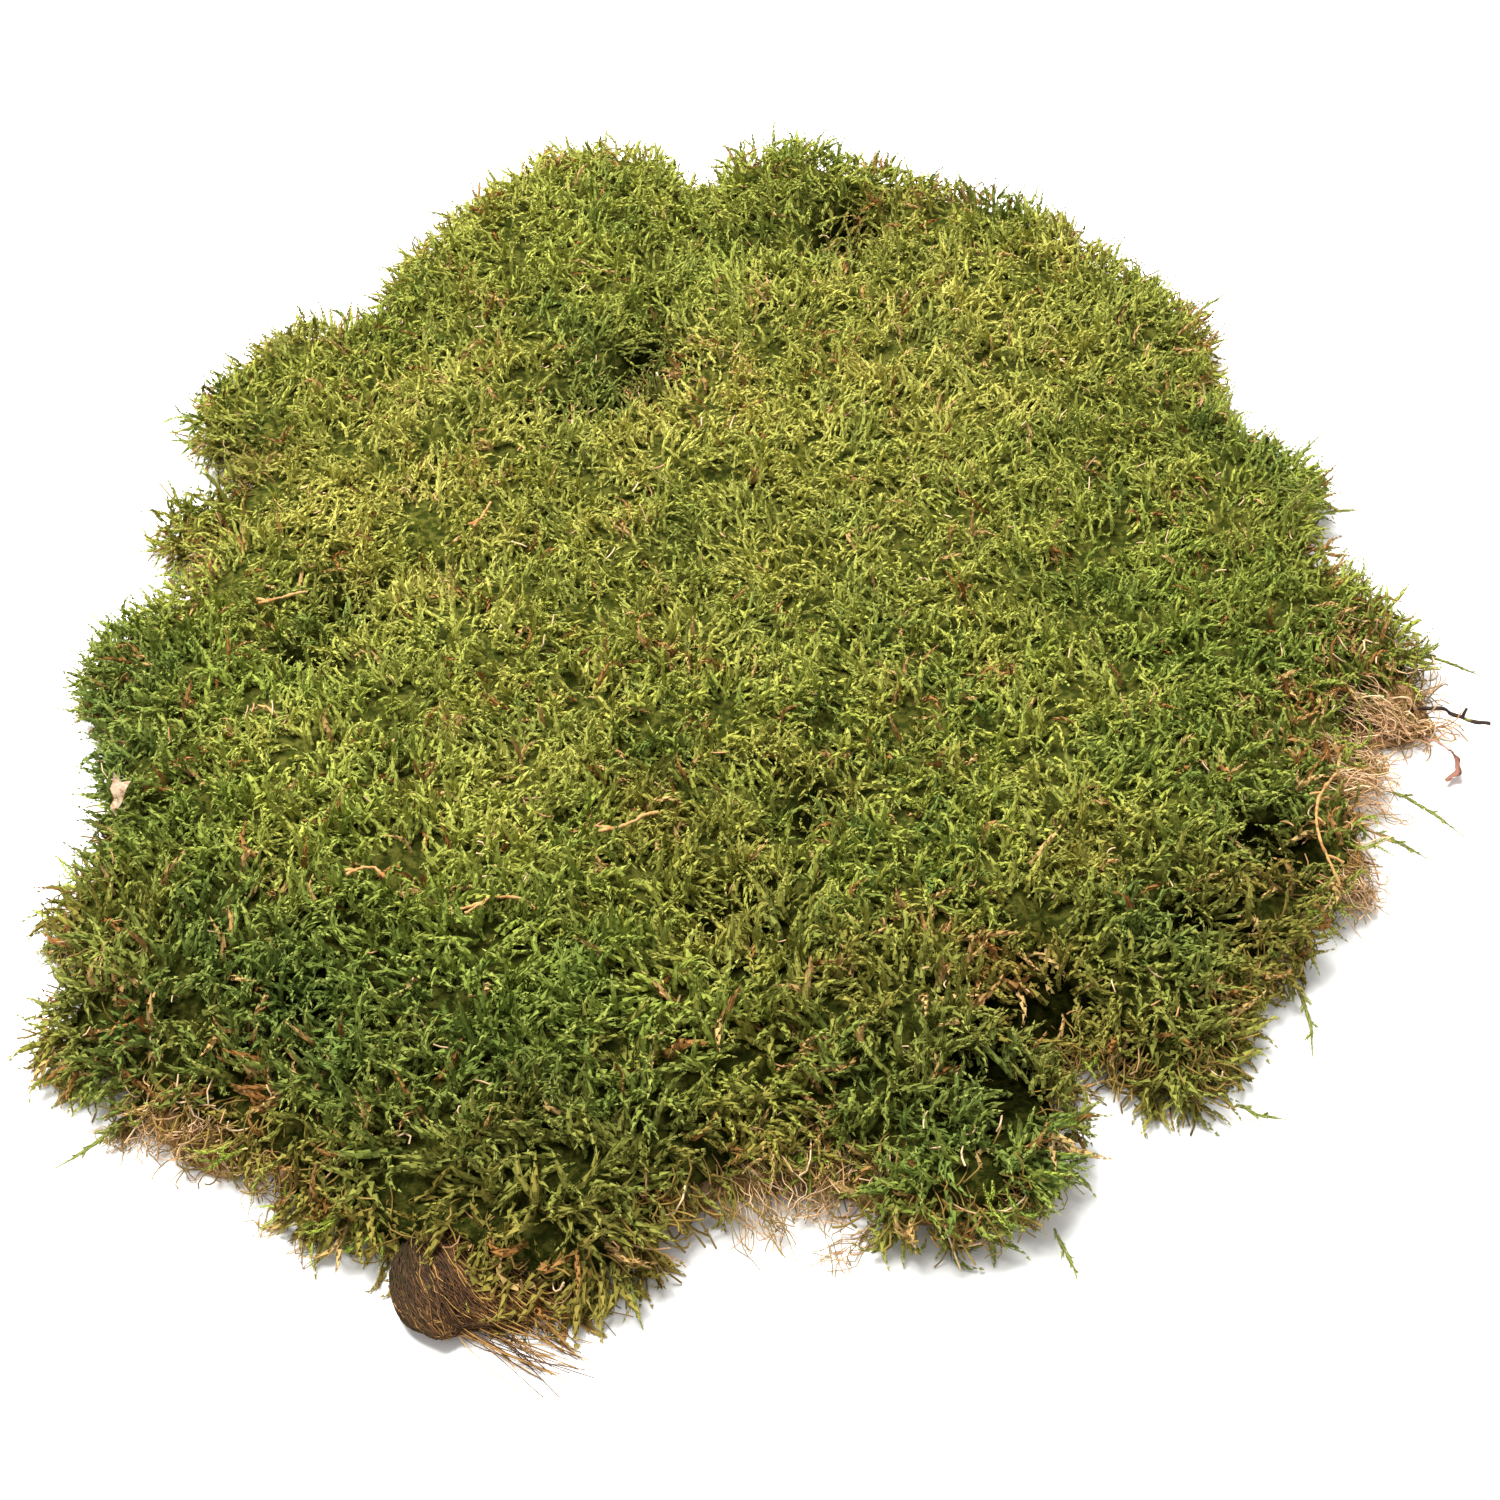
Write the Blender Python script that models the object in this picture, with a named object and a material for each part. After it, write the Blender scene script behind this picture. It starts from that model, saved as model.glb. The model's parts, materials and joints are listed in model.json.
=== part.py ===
"""A clump of sheet moss, cut off flat underneath and lying on its cut.

Metres, +Z up. The underside lies on z = 0 and the origin is the point of the underside below the
middle of the clump. The left of the clump is -X and its front, the thick rolled edge, is -Y.
"""

import math
import random

import bmesh
import bpy
import numpy as np
from mathutils import Vector, noise
from mathutils.bvhtree import BVHTree
from mathutils.geometry import delaunay_2d_cdt

MM = 0.001
SEED = 7

# The outline of the clump seen from above, clockwise from the back left, in millimetres.
OUTLINE_MM = (
    # Back-left lobe, up to the notch where the back crease leaves the clump.
    (-66, 213), (-39, 215), (-17, 188),
    # Back-right lobe and the long right shoulder.
    (-7, 211), (30, 204), (56, 197), (82, 178), (108, 157), (127, 131), (134, 104), (131, 79),
    (145, 54), (157, 46), (155, 18),
    # Right edge, with the bare brown patch.
    (163, 0), (176, -24), (178, -44), (170, -62), (156, -76), (154, -94), (146, -110),
    # Right corner and the tongue in front of it.
    (129, -128), (117, -134), (107, -142), (107, -160), (101, -168), (88, -164), (75, -153),
    # Front-right lobe, up to the notch in the front edge.
    (71, -166), (72, -188), (57, -205), (35, -204), (21, -194), (11, -184),
    # Thick front edge.
    (2, -195), (-14, -204), (-36, -214), (-60, -211), (-82, -204), (-112, -187), (-141, -172),
    # Two flaps at the left corner and the steep left edge.
    (-154, -159), (-167, -157), (-170, -148), (-162, -135), (-171, -113), (-165, -98), (-165, -80),
    (-173, -54), (-178, -28), (-170, -12), (-158, 3), (-161, 16), (-168, 31),
    # Notch in the left edge and the back-left shoulder.
    (-146, 44), (-166, 61), (-167, 80), (-147, 107), (-136, 118), (-117, 120), (-113, 144),
    (-103, 166), (-84, 192),
)  # fmt: skip
OUTLINE_SPACING = 0.0070
RAGGED = 0.0015

# The living carpet.
PLATEAU = 0.0215
LIP = 0.0042
CARPET_SPACING = 0.0090
RIM_RING = 0.0032
ROLL_SIDE = 0.015
ROLL_FRONT = 0.042
ROLL_FRONT_FADES_X = (-0.010, 0.040)
ROLL_FRONT_FADES_Y = (-0.150, -0.075)
UNEVEN = 0.0019
UNEVEN_SIZE = 0.021
BROAD_SIZE = 0.055

# Swells and pits of the top: x, y, half-width in x, half-width in y, rise, in millimetres.
SWELLS_MM = (
    (-62, 160, 42, 40, 5.5),
    (24, 180, 36, 16, 3.0),
    (80, 90, 60, 50, 2.0),
    (-84, 52, 42, 26, 3.0),
    (-140, -62, 24, 46, 3.5),
    (-96, -118, 52, 32, 5.0),
    (-28, -148, 44, 30, 3.5),
    (40, -172, 22, 20, 1.5),
    (148, -50, 24, 44, -4.5),
    (95, -152, 18, 16, -5.0),
    (36, 168, 9, 8, -8.0),
    (-34, 88, 11, 9, -7.5),
    (-102, -3, 16, 8, -5.0),
    (64, -38, 14, 9, -3.5),
    (16, -80, 24, 13, -3.0),
    (-8, -110, 18, 10, -2.5),
    (66, -139, 9, 12, -7.5),
    (128, -52, 12, 16, -4.0),
)

# Creases of the top: half-width and depth in millimetres, then the points along the line.
CREASES_MM = (
    (6.5, 6.5, ((-16, 196), (-17, 160), (-24, 122), (-34, 90))),
    (7.0, 3.5, ((-150, -34), (-122, -12), (-92, 0), (-58, 6))),
    (6.0, 4.5, ((72, -158), (68, -140), (52, -126), (30, -122))),
    (7.0, 2.5, ((-34, 88), (0, 76), (30, 92))),
)

# The brown felt of dead stems under the carpet, which shows where the carpet draws back.
THATCH_HEIGHT = 0.0090
THATCH_EDGE = 0.0048
THATCH_ROLL = 0.012
THATCH_INSET = 0.0075
THATCH_SPACING = 0.020
THATCH_OUTLINE_SPACING = 0.013
THATCH_UNEVEN = 0.0010
THATCH_UNEVEN_SIZE = 0.030

# Bare places along the edge: x, y and reach in millimetres.
BARE_MM = (
    (176, -40, 24),
    (152, -98, 15),
    (14, -188, 17),
    (72, -192, 12),
    (58, 197, 15),
    (-160, 8, 13),
    (-122, -182, 22),
)
CARPET_DRAWN_BACK = 0.0060

# Lump of matted rootlets under the front edge: round on the left, with a tail to the right.
ROOT_CLUMP_CENTRE = (-0.0640, -0.2105, 0.0058)
ROOT_CLUMP_RADII = (0.0150, 0.0165, 0.0070)
ROOT_CLUMP_TAIL = 0.0330
ROOT_CLUMP_TAIL_THIN = 0.62
ROOT_CLUMP_TAIL_BEND = 0.0110
ROOT_CLUMP_LUMPS = 0.0014
ROOT_CLUMP_BUMPS = 2.3

# The ground, the lowest that a thin piece lies, and the clearance that touching pieces keep.
GROUND = 0.0
LIE = 0.0004
GAP = 0.0004
ROOM_SHARE = 1.4

# Strands: their share of the full width at the root and tip, and how fast they swell from there.
ROOT_SHARE = 0.55
ROOT_SWELL = 1.6
TIP_SHARE = 0.35
TIP_SWELL = 2.0
SPRIG_POINTS = 9
LITTER_POINTS = 13
THIN_SIDES = 6
TWIG_SIDES = 8

# How the outline and the surfaces are divided.
CURVE_STEPS = 12
INSET_KEPT = 0.93
BARE_CORE = 0.45
HONEYCOMB_JITTER = 0.18
HONEYCOMB_CLEAR = 0.55
MERGE = 1e-7

# Long shoots that stand out past the edge: start and end in millimetres, then half-width.
EDGE_SPRIGS_MM = (
    ((158, -22, 9.0), (177, -24, 8.5), (191, -29, 6.0), 1.5),
    ((148, -70, 9.0), (163, -75, 7.5), (174, -84, 4.5), 1.7),
    ((142, -80, 8.0), (155, -86, 6.0), (164, -90, 3.0), 1.5),
    ((118, -122, 8.0), (126, -136, 5.0), (126, -150, 2.2), 1.7),
    ((125, 118, 8.0), (137, 131, 9.5), (147, 138, 12.0), 1.5),
    ((140, 46, 9.0), (155, 58, 10.0), (164, 67, 12.5), 1.5),
    ((146, 28, 8.0), (160, 35, 8.5), (171, 37, 8.0), 1.3),
    ((96, -154, 6.0), (107, -165, 3.5), (117, -167, 2.0), 1.6),
    ((-84, 176, 8.0), (-99, 183, 9.0), (-110, 185, 11.0), 1.4),
    ((-60, 200, 9.0), (-67, 216, 11.0), (-74, 224, 13.0), 1.4),
    ((-28, -200, 9.0), (-27, -215, 5.0), (-22, -228, 2.0), 1.5),
    ((-136, -164, 7.0), (-148, -175, 4.0), (-156, -180, 2.0), 1.6),
    ((44, 190, 8.0), (50, 206, 9.0), (49, 217, 11.0), 1.4),
    ((60, -196, 6.0), (66, -207, 4.0), (63, -217, 2.2), 1.4),
)
SPRIG_FLATNESS = 0.55

# Dead stems lying on the carpet: points seen from above in millimetres, then half-width.
DEAD_STEMS_MM = (
    (((-39, -101), (-33, -99), (-28, -95), (-25, -94)), 0.8),
    (((-68, -128), (-62, -123), (-55, -123), (-52, -126)), 0.9),
    (((-78, 12), (-76, 16), (-74, 21)), 1.0),
    (((-96, -118), (-91, -115), (-87, -118)), 0.8),
    (((-132, -18), (-126, -15), (-120, -13)), 0.8),
)

# Rootlet over the right edge, seen from above in millimetres, and its half-width.
ROOTLET_MM = ((141, -77), (136, -84), (133, -93), (133, -103), (136, -112))
ROOTLET_WIDTH_MM = 0.8

# Dark twig, dead leaf curl and bark flake at the edges.
TWIG_MM = ((168, -40, 5.0), (178, -41, 5.2), (185, -44, 4.6), (192, -45, 4.4))
TWIG_RADIUS_MM = 0.9
CURL_MM = ((166, -53, 5.0), (174, -52, 4.2), (180, -55, 3.4), (182, -61, 2.6), (178, -66, 2.2))
CURL_WIDTH_MM = 1.3
CURL_FLATNESS = 0.6
BARK_FOOT_MM = (-158.0, -75.0)
BARK_SIZE_MM = (5.5, 12.0, 1.1)
BARK_CORNERS = 9
BARK_TORN = (0.82, 1.08)
BARK_LAYERS = ((0.0, 0.90), (0.5, 1.0), (1.0, 0.85))
BARK_LIFT = 0.0035


def clear_scene():
    """Remove every object of the open scene."""
    for obj in list(bpy.data.objects):
        bpy.data.objects.remove(obj, do_unlink=True)


def material(name, colour, roughness):
    """A plain Principled material."""
    made = bpy.data.materials.new(name)
    made.use_nodes = True
    shader = made.node_tree.nodes["Principled BSDF"]
    shader.inputs["Base Color"].default_value = (*colour, 1.0)
    shader.inputs["Roughness"].default_value = roughness
    shader.inputs["Metallic"].default_value = 0.0
    made.diffuse_color = (*colour, 1.0)
    return made


def add_object(name, bm, finish=None, helper=False):
    """Turn a bmesh into an object. A helper only cuts others and isn't part of the clump."""
    bmesh.ops.recalc_face_normals(bm, faces=bm.faces)
    mesh = bpy.data.meshes.new(name)
    bm.to_mesh(mesh)
    bm.free()
    obj = bpy.data.objects.new(name, mesh)
    bpy.context.scene.collection.objects.link(obj)
    if finish is not None:
        mesh.materials.append(finish)
    if helper:
        obj.hide_render = True
        obj.display_type = "WIRE"
    return obj


def cut(obj, *cutters):
    """Cut one or more helpers out of an object."""
    for cutter in cutters:
        boolean = obj.modifiers.new("cut_" + cutter.name, "BOOLEAN")
        boolean.operation = "DIFFERENCE"
        boolean.solver = "EXACT"
        boolean.object = cutter


def room_around(obj):
    """Helper a little larger than an object, which cuts the room for it out of its neighbours."""
    bm = bmesh.new()
    bm.from_mesh(obj.data)
    bm.normal_update()
    for vert in bm.verts:
        grounded = vert.co.z <= LIE
        vert.co += vert.normal * GAP * ROOM_SHARE
        if grounded:
            vert.co.z = -LIE
    return add_object(obj.name + "_room", bm, helper=True)


def smoothstep(low, high, value):
    """0 below low, 1 above high and a smooth rise between."""
    share = np.clip((value - low) / (high - low), 0.0, 1.0)
    return share * share * (3.0 - 2.0 * share)


def curve_span(before, here, after, later):
    """Dense points from here up to after, on the smooth curve through the four points."""
    share = np.linspace(0.0, 1.0, CURVE_STEPS, endpoint=False)[:, None]
    slope_here = (after - before) / 2
    slope_after = (later - here) / 2
    cubic = 2 * (here - after) + slope_here + slope_after
    square = 3 * (after - here) - 2 * slope_here - slope_after
    return here + share * slope_here + share**2 * square + share**3 * cubic


def evenly(line, stops):
    """Points of a line at the given shares of its length."""
    steps = np.linalg.norm(np.diff(line, axis=0), axis=1)
    travelled = np.concatenate([[0.0], np.cumsum(steps)])
    places = stops * travelled[-1]
    return np.stack([np.interp(places, travelled, column) for column in line.T], axis=1)


def closed_curve(corners, spacing):
    """Even points along the smooth closed curve through the corners."""
    turns = [np.roll(corners, shift, axis=0) for shift in (1, 0, -1, -2)]
    spans = [curve_span(*four) for four in zip(*turns)]
    dense = np.concatenate([*spans, spans[0][:1]])
    length = np.linalg.norm(np.diff(dense, axis=0), axis=1).sum()
    return evenly(dense, np.linspace(0.0, 1.0, round(length / spacing), endpoint=False))


def open_curve(points, count):
    """Even points along the smooth open curve through the given ones."""
    ends = np.vstack([2 * points[0] - points[1], points, 2 * points[-1] - points[-2]])
    spans = [curve_span(*ends[index : index + 4]) for index in range(len(ends) - 3)]
    return evenly(np.concatenate([*spans, points[-1:]]), np.linspace(0.0, 1.0, count))


def outward(loop):
    """Unit normals of a clockwise closed loop, pointing out of it."""
    tangent = np.roll(loop, -1, axis=0) - np.roll(loop, 1, axis=0)
    tangent /= np.linalg.norm(tangent, axis=1)[:, None]
    return np.stack([-tangent[:, 1], tangent[:, 0]], axis=1)


def distance_to_loop(points, loop):
    """Distance of each point to a closed loop."""
    start = loop[None, :, :]
    run = np.roll(loop, -1, axis=0)[None, :, :] - start
    offset = points[:, None, :] - start
    share = np.clip((offset * run).sum(2) / (run**2).sum(2), 0.0, 1.0)
    return np.linalg.norm(offset - share[:, :, None] * run, axis=2).min(axis=1)


def inside_loop(points, loop):
    """True for each point inside a closed loop, by counting the edges to its right."""
    x, y = points[:, 0][:, None], points[:, 1][:, None]
    ax, ay = loop[:, 0][None, :], loop[:, 1][None, :]
    following = np.roll(loop, -1, axis=0)
    bx, by = following[:, 0][None, :], following[:, 1][None, :]
    spans = (ay > y) != (by > y)
    rise = np.where(by == ay, 1.0, by - ay)
    crossing = ax + (y - ay) * (bx - ax) / rise
    return (spans & (x < crossing)).sum(axis=1) % 2 == 1


def inset_loop(loop, inset):
    """The loop moved inwards by one distance for each point, without the points that would cross."""
    moved = loop - outward(loop) * inset[:, None]
    kept = distance_to_loop(moved, loop) > inset * INSET_KEPT - MERGE
    return moved[kept]


def bare_share(points):
    """How bare the edge is at each point: 1 in the middle of a bare place and 0 away from it."""
    share = np.zeros(len(points))
    for x, y, reach in BARE_MM:
        away = np.hypot(points[:, 0] - x * MM, points[:, 1] - y * MM)
        share = np.maximum(share, 1.0 - smoothstep(BARE_CORE * reach * MM, reach * MM, away))
    return share


def fine_noise(points, size, layer):
    """Smooth seeded noise at each point, about -1 to 1."""
    at = Vector((0.0, 0.0, SEED + 3.7 * layer))
    return np.array([noise.noise(Vector((x / size, y / size, 0.0)) + at) for x, y in points])


def distance_to_path(points, path):
    """Distance of each point to an open path."""
    nearest = np.full(len(points), np.inf)
    for start, end in zip(path[:-1], path[1:]):
        run = end - start
        share = np.clip(((points - start) @ run) / (run @ run), 0.0, 1.0)
        away = np.linalg.norm(points - start - share[:, None] * run, axis=1)
        nearest = np.minimum(nearest, away)
    return nearest


def relief(points):
    """Rise of the carpet's top over its plateau: swells, pits, creases and unevenness."""
    rise = UNEVEN * fine_noise(points, UNEVEN_SIZE, 0)
    rise += UNEVEN * fine_noise(points, BROAD_SIZE, 1)
    for x, y, half_x, half_y, height in SWELLS_MM:
        across = (points[:, 0] / MM - x) / half_x
        along = (points[:, 1] / MM - y) / half_y
        rise += height * MM * np.exp(-(across**2) - along**2)
    for half_width, depth, path in CREASES_MM:
        away = distance_to_path(points, np.array(path) * MM)
        rise -= depth * MM * np.exp(-((away / (half_width * MM)) ** 2))
    return rise


def carpet_top(points, loop):
    """Height of the living carpet: it rolls down to a low lip at its edge, widest at the front."""
    away = distance_to_loop(points, loop)
    front = 1.0 - smoothstep(*ROLL_FRONT_FADES_Y, points[:, 1])
    left = 1.0 - smoothstep(*ROLL_FRONT_FADES_X, points[:, 0])
    roll = ROLL_SIDE + (ROLL_FRONT - ROLL_SIDE) * front * left
    share = np.clip(away / roll, 0.0, 1.0)
    dome = np.sqrt(1.0 - (1.0 - share) ** 2)
    return LIP + (PLATEAU + relief(points) - LIP) * dome


def thatch_top(points, loop):
    """Height of the brown felt: nearly level, and a little lower at its edge."""
    share = np.clip(distance_to_loop(points, loop) / THATCH_ROLL, 0.0, 1.0)
    dome = np.sqrt(1.0 - (1.0 - share) ** 2)
    uneven = THATCH_UNEVEN * fine_noise(points, THATCH_UNEVEN_SIZE, 2)
    return THATCH_EDGE + (THATCH_HEIGHT - THATCH_EDGE + uneven) * dome


def honeycomb(loop, spacing, clear):
    """Points of a honeycomb inside a loop, at least a clear distance from it."""
    low, high = loop.min(axis=0), loop.max(axis=0)
    rows = np.arange(low[1], high[1], spacing * math.sqrt(3) / 2)
    found = []
    for number, y in enumerate(rows):
        start = low[0] + (spacing / 2 if number % 2 else 0.0)
        found.extend((x, y) for x in np.arange(start, high[0], spacing))
    points = np.array(found)
    shake = np.random.default_rng(SEED).uniform(-1.0, 1.0, points.shape)
    points += HONEYCOMB_JITTER * spacing * shake
    points = points[inside_loop(points, loop)]
    return points[distance_to_loop(points, loop) > clear]


def pad(loop, top, spacing, ring):
    """Closed solid that stands on the ground inside a loop, under a given top height."""
    rim = inset_loop(loop, np.full(len(loop), ring))
    middle = honeycomb(loop, spacing, ring + spacing * HONEYCOMB_CLEAR)
    flat = np.concatenate([loop, rim, middle])
    boundary = list(range(len(loop)))
    found = delaunay_2d_cdt([Vector(point) for point in flat], [], [boundary], 1, MERGE)
    places = np.array([(point.x, point.y) for point in found[0]])
    heights = top(places)
    bm = bmesh.new()
    upper = [bm.verts.new((x, y, z)) for (x, y), z in zip(places, heights)]
    for face in found[2]:
        bm.faces.new([upper[index] for index in face])
    edges = [edge for edge in bm.edges if edge.is_boundary]
    rim_verts = dict.fromkeys(vert for edge in edges for vert in edge.verts)
    lower = {vert: bm.verts.new((vert.co.x, vert.co.y, GROUND)) for vert in rim_verts}
    for edge in edges:
        first, second = edge.verts
        bm.faces.new([first, second, lower[second], lower[first]])
    under = [edge for edge in bm.edges if edge.is_boundary]
    bmesh.ops.triangle_fill(bm, edges=under, use_beauty=True)
    return bm


def strand(path, half_width, flatness, sides):
    """Closed tapering strand along a path, wider than it is high, with pointed ends."""
    bm = bmesh.new()
    count = len(path)
    rings = []
    for index in range(1, count - 1):
        along = Vector(path[index + 1] - path[index - 1]).normalized()
        across = along.cross(Vector((0.0, 0.0, 1.0))).normalized()
        up = across.cross(along)
        share = index / (count - 1)
        swell = min(1.0, ROOT_SHARE + ROOT_SWELL * share)
        width = half_width * swell * min(1.0, TIP_SHARE + TIP_SWELL * (1.0 - share))
        ring = []
        for side in range(sides):
            turn = 2 * math.pi * side / sides
            offset = across * math.cos(turn) * width + up * math.sin(turn) * width * flatness
            ring.append(bm.verts.new(Vector(path[index]) + offset))
        rings.append(ring)
    for first, second in zip(rings[:-1], rings[1:]):
        for side in range(sides):
            after = (side + 1) % sides
            bm.faces.new([first[side], first[after], second[after], second[side]])
    for ring, tip in ((rings[0], path[0]), (rings[-1], path[-1])):
        point = bm.verts.new(Vector(tip))
        for side in range(sides):
            bm.faces.new([ring[side], ring[(side + 1) % sides], point])
    return bm


def root_lump():
    """Closed lump with seeded bumps and a thinner bent tail, flattened where it lies down."""
    bm = bmesh.new()
    bmesh.ops.create_icosphere(bm, subdivisions=3, radius=1.0)
    for vert in bm.verts:
        direction = vert.co.normalized()
        bump = ROOT_CLUMP_LUMPS * noise.noise(direction * ROOT_CLUMP_BUMPS + Vector((SEED, 0, 0)))
        tail = max(direction.x, 0.0)
        thin = 1.0 - ROOT_CLUMP_TAIL_THIN * tail
        reach = ROOT_CLUMP_RADII[0] + (ROOT_CLUMP_TAIL - ROOT_CLUMP_RADII[0]) * tail
        place = Vector(ROOT_CLUMP_CENTRE)
        place.x += direction.x * (reach + bump)
        place.y += direction.y * (ROOT_CLUMP_RADII[1] + bump) * thin - ROOT_CLUMP_TAIL_BEND * tail**2
        place.z += direction.z * (ROOT_CLUMP_RADII[2] + bump) * thin
        place.z = max(place.z, LIE)
        vert.co = place
    return bm


def surface_height(tree, x, y):
    """Height of a surface under a point seen from above, or the ground where there is none."""
    hit = tree.ray_cast(Vector((x, y, 1.0)), Vector((0.0, 0.0, -1.0)))[0]
    return hit.z if hit else GROUND


def lying_path(tree, places_mm, half_width, count):
    """Path that follows a surface from above, clear of its bumps by the strand's own height."""
    flat = open_curve(np.array([(x, y, 0.0) for x, y in places_mm]) * MM, count)
    reach = half_width + GAP
    around = [(0.0, 0.0), (reach, 0.0), (-reach, 0.0), (0.0, reach), (0.0, -reach)]
    for point in flat:
        highest = max(surface_height(tree, point[0] + dx, point[1] + dy) for dx, dy in around)
        point[2] = highest + half_width + GAP
    heights = flat[:, 2].copy()
    flat[1:-1, 2] = np.maximum(heights[1:-1], np.maximum(heights[:-2], heights[2:]) - GAP)
    return flat


def build_mat():
    """The moss carpet, the thatch under it and the root clump at the front, fitted together."""
    corners = np.array(OUTLINE_MM, float) * MM
    edge = closed_curve(corners, OUTLINE_SPACING)
    ragged = np.random.default_rng(SEED).uniform(-RAGGED, RAGGED, len(edge))
    edge = edge + outward(edge) * ragged[:, None]
    carpet_loop = inset_loop(edge, CARPET_DRAWN_BACK * bare_share(edge))
    coarse = closed_curve(corners, THATCH_OUTLINE_SPACING)
    thatch_loop = inset_loop(coarse, THATCH_INSET * (1.0 - bare_share(coarse)))

    green = material("living_moss", (0.17, 0.23, 0.035), 0.85)
    brown = material("dead_thatch", (0.20, 0.12, 0.05), 0.95)
    dark = material("matted_roots", (0.13, 0.075, 0.035), 0.95)

    def top(points):
        return carpet_top(points, carpet_loop)

    def felt(points):
        return thatch_top(points, thatch_loop)

    carpet = add_object("moss_carpet", pad(carpet_loop, top, CARPET_SPACING, RIM_RING), green)
    thatch = add_object("thatch", pad(thatch_loop, felt, THATCH_SPACING, RIM_RING), brown)
    clump = add_object("root_clump", root_lump(), dark)

    clump_room = room_around(clump)
    thatch_room = room_around(thatch)
    carpet_room = room_around(carpet)
    tree = BVHTree.FromPolygons(
        [vert.co for vert in carpet_room.data.vertices],
        [face.vertices for face in carpet_room.data.polygons],
    )
    cut(thatch, clump_room)
    cut(carpet, thatch_room, clump_room)
    return tree, (carpet_room, thatch_room, clump_room)


def build_edge_sprigs(rooms):
    """Long leafy shoots that stand out past the edge, each ending at the carpet."""
    green = material("edge_shoot", (0.22, 0.28, 0.05), 0.8)
    for number, (root, bend, tip, half_width) in enumerate(EDGE_SPRIGS_MM, start=1):
        path = open_curve(np.array((root, bend, tip)) * MM, SPRIG_POINTS)
        shape = strand(path, half_width * MM, SPRIG_FLATNESS, THIN_SIDES)
        sprig = add_object(f"edge_sprig_{number:02d}", shape, green)
        cut(sprig, *rooms)


def build_dead_stems(tree):
    """Straw-coloured dead stems that lie on the carpet."""
    straw = material("dead_stem", (0.62, 0.48, 0.27), 0.8)
    for number, (places, half_width) in enumerate(DEAD_STEMS_MM, start=1):
        path = lying_path(tree, places, half_width * MM, SPRIG_POINTS)
        add_object(f"dead_stem_{number}", strand(path, half_width * MM, 1.0, THIN_SIDES), straw)


def build_edge_litter(tree, rooms):
    """The rootlet, twig, dead leaf curl and bark flake caught at the edges."""
    tan = material("rootlet", (0.45, 0.31, 0.17), 0.85)
    path = lying_path(tree, ROOTLET_MM, ROOTLET_WIDTH_MM * MM, LITTER_POINTS)
    add_object("rootlet", strand(path, ROOTLET_WIDTH_MM * MM, 1.0, THIN_SIDES), tan)

    twig_brown = material("dark_twig", (0.07, 0.045, 0.035), 0.8)
    path = open_curve(np.array(TWIG_MM) * MM, LITTER_POINTS)
    twig = add_object("dark_twig", strand(path, TWIG_RADIUS_MM * MM, 1.0, TWIG_SIDES), twig_brown)
    cut(twig, *rooms)

    rust = material("dead_leaf", (0.34, 0.15, 0.09), 0.75)
    path = open_curve(np.array(CURL_MM) * MM, LITTER_POINTS)
    curl = add_object("dead_leaf_curl", strand(path, CURL_WIDTH_MM * MM, CURL_FLATNESS, THIN_SIDES), rust)
    cut(curl, *rooms)

    bark = material("bark_flake", (0.55, 0.40, 0.24), 0.9)
    add_object("bark_flake", bark_flake(tree), bark)


def bark_flake(tree):
    """Thin torn flake that leans on the left edge of the carpet."""
    width, length, thick = (size * MM for size in BARK_SIZE_MM)
    start = Vector((BARK_FOOT_MM[0] * MM, BARK_FOOT_MM[1] * MM, 1.0))
    place, normal = tree.ray_cast(start, Vector((0.0, 0.0, -1.0)))[:2]
    uphill = (Vector((0.0, 0.0, 1.0)) - normal * normal.z).normalized()
    across = uphill.cross(normal)
    rng = random.Random(SEED)
    outline = []
    for side in range(BARK_CORNERS):
        turn = 2 * math.pi * side / BARK_CORNERS
        torn = rng.uniform(*BARK_TORN)
        outline.append((math.cos(turn) * width / 2 * torn, math.sin(turn) * length / 2 * torn))
    centre = place + normal * BARK_LIFT
    bm = bmesh.new()
    layers = []
    for lift, share in BARK_LAYERS:
        middle = centre + normal * thick * lift
        places = [middle + (across * a + uphill * b) * share for a, b in outline]
        layers.append([bm.verts.new(spot) for spot in places])
    for first, second in zip(layers[:-1], layers[1:]):
        for side in range(len(outline)):
            after = (side + 1) % len(outline)
            bm.faces.new([first[side], first[after], second[after], second[side]])
    bm.faces.new(list(reversed(layers[0])))
    bm.faces.new(layers[-1])
    return bm


def main():
    """Build the whole clump."""
    clear_scene()
    bpy.context.scene.unit_settings.scale_length = 1.0
    tree, rooms = build_mat()
    build_edge_sprigs(rooms)
    build_dead_stems(tree)
    build_edge_litter(tree, rooms)


main()
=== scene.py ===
"""Looks of a clump of sheet moss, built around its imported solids.

Every length is in metres, in the frame of the solids: +Z up from the surface the clump lies on, the
thick rolled front edge towards -Y. The living carpet becomes a dark bed that is covered with leafy
shoots. The brown felt, the root clump, the long edge shoots and the litter get pieces of their own.
"""

import json
import logging
import math
from dataclasses import dataclass, field
from enum import Enum
from typing import Any, Iterable, Sequence

import bmesh
import bpy
import numpy as np
from bmesh.types import BMVert, BMesh
from bpy.types import Collection, Material, Mesh, Node, NodeSocket, NodeTree, Object
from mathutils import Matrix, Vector, noise
from mathutils.bvhtree import BVHTree
from mathutils.kdtree import KDTree

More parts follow.
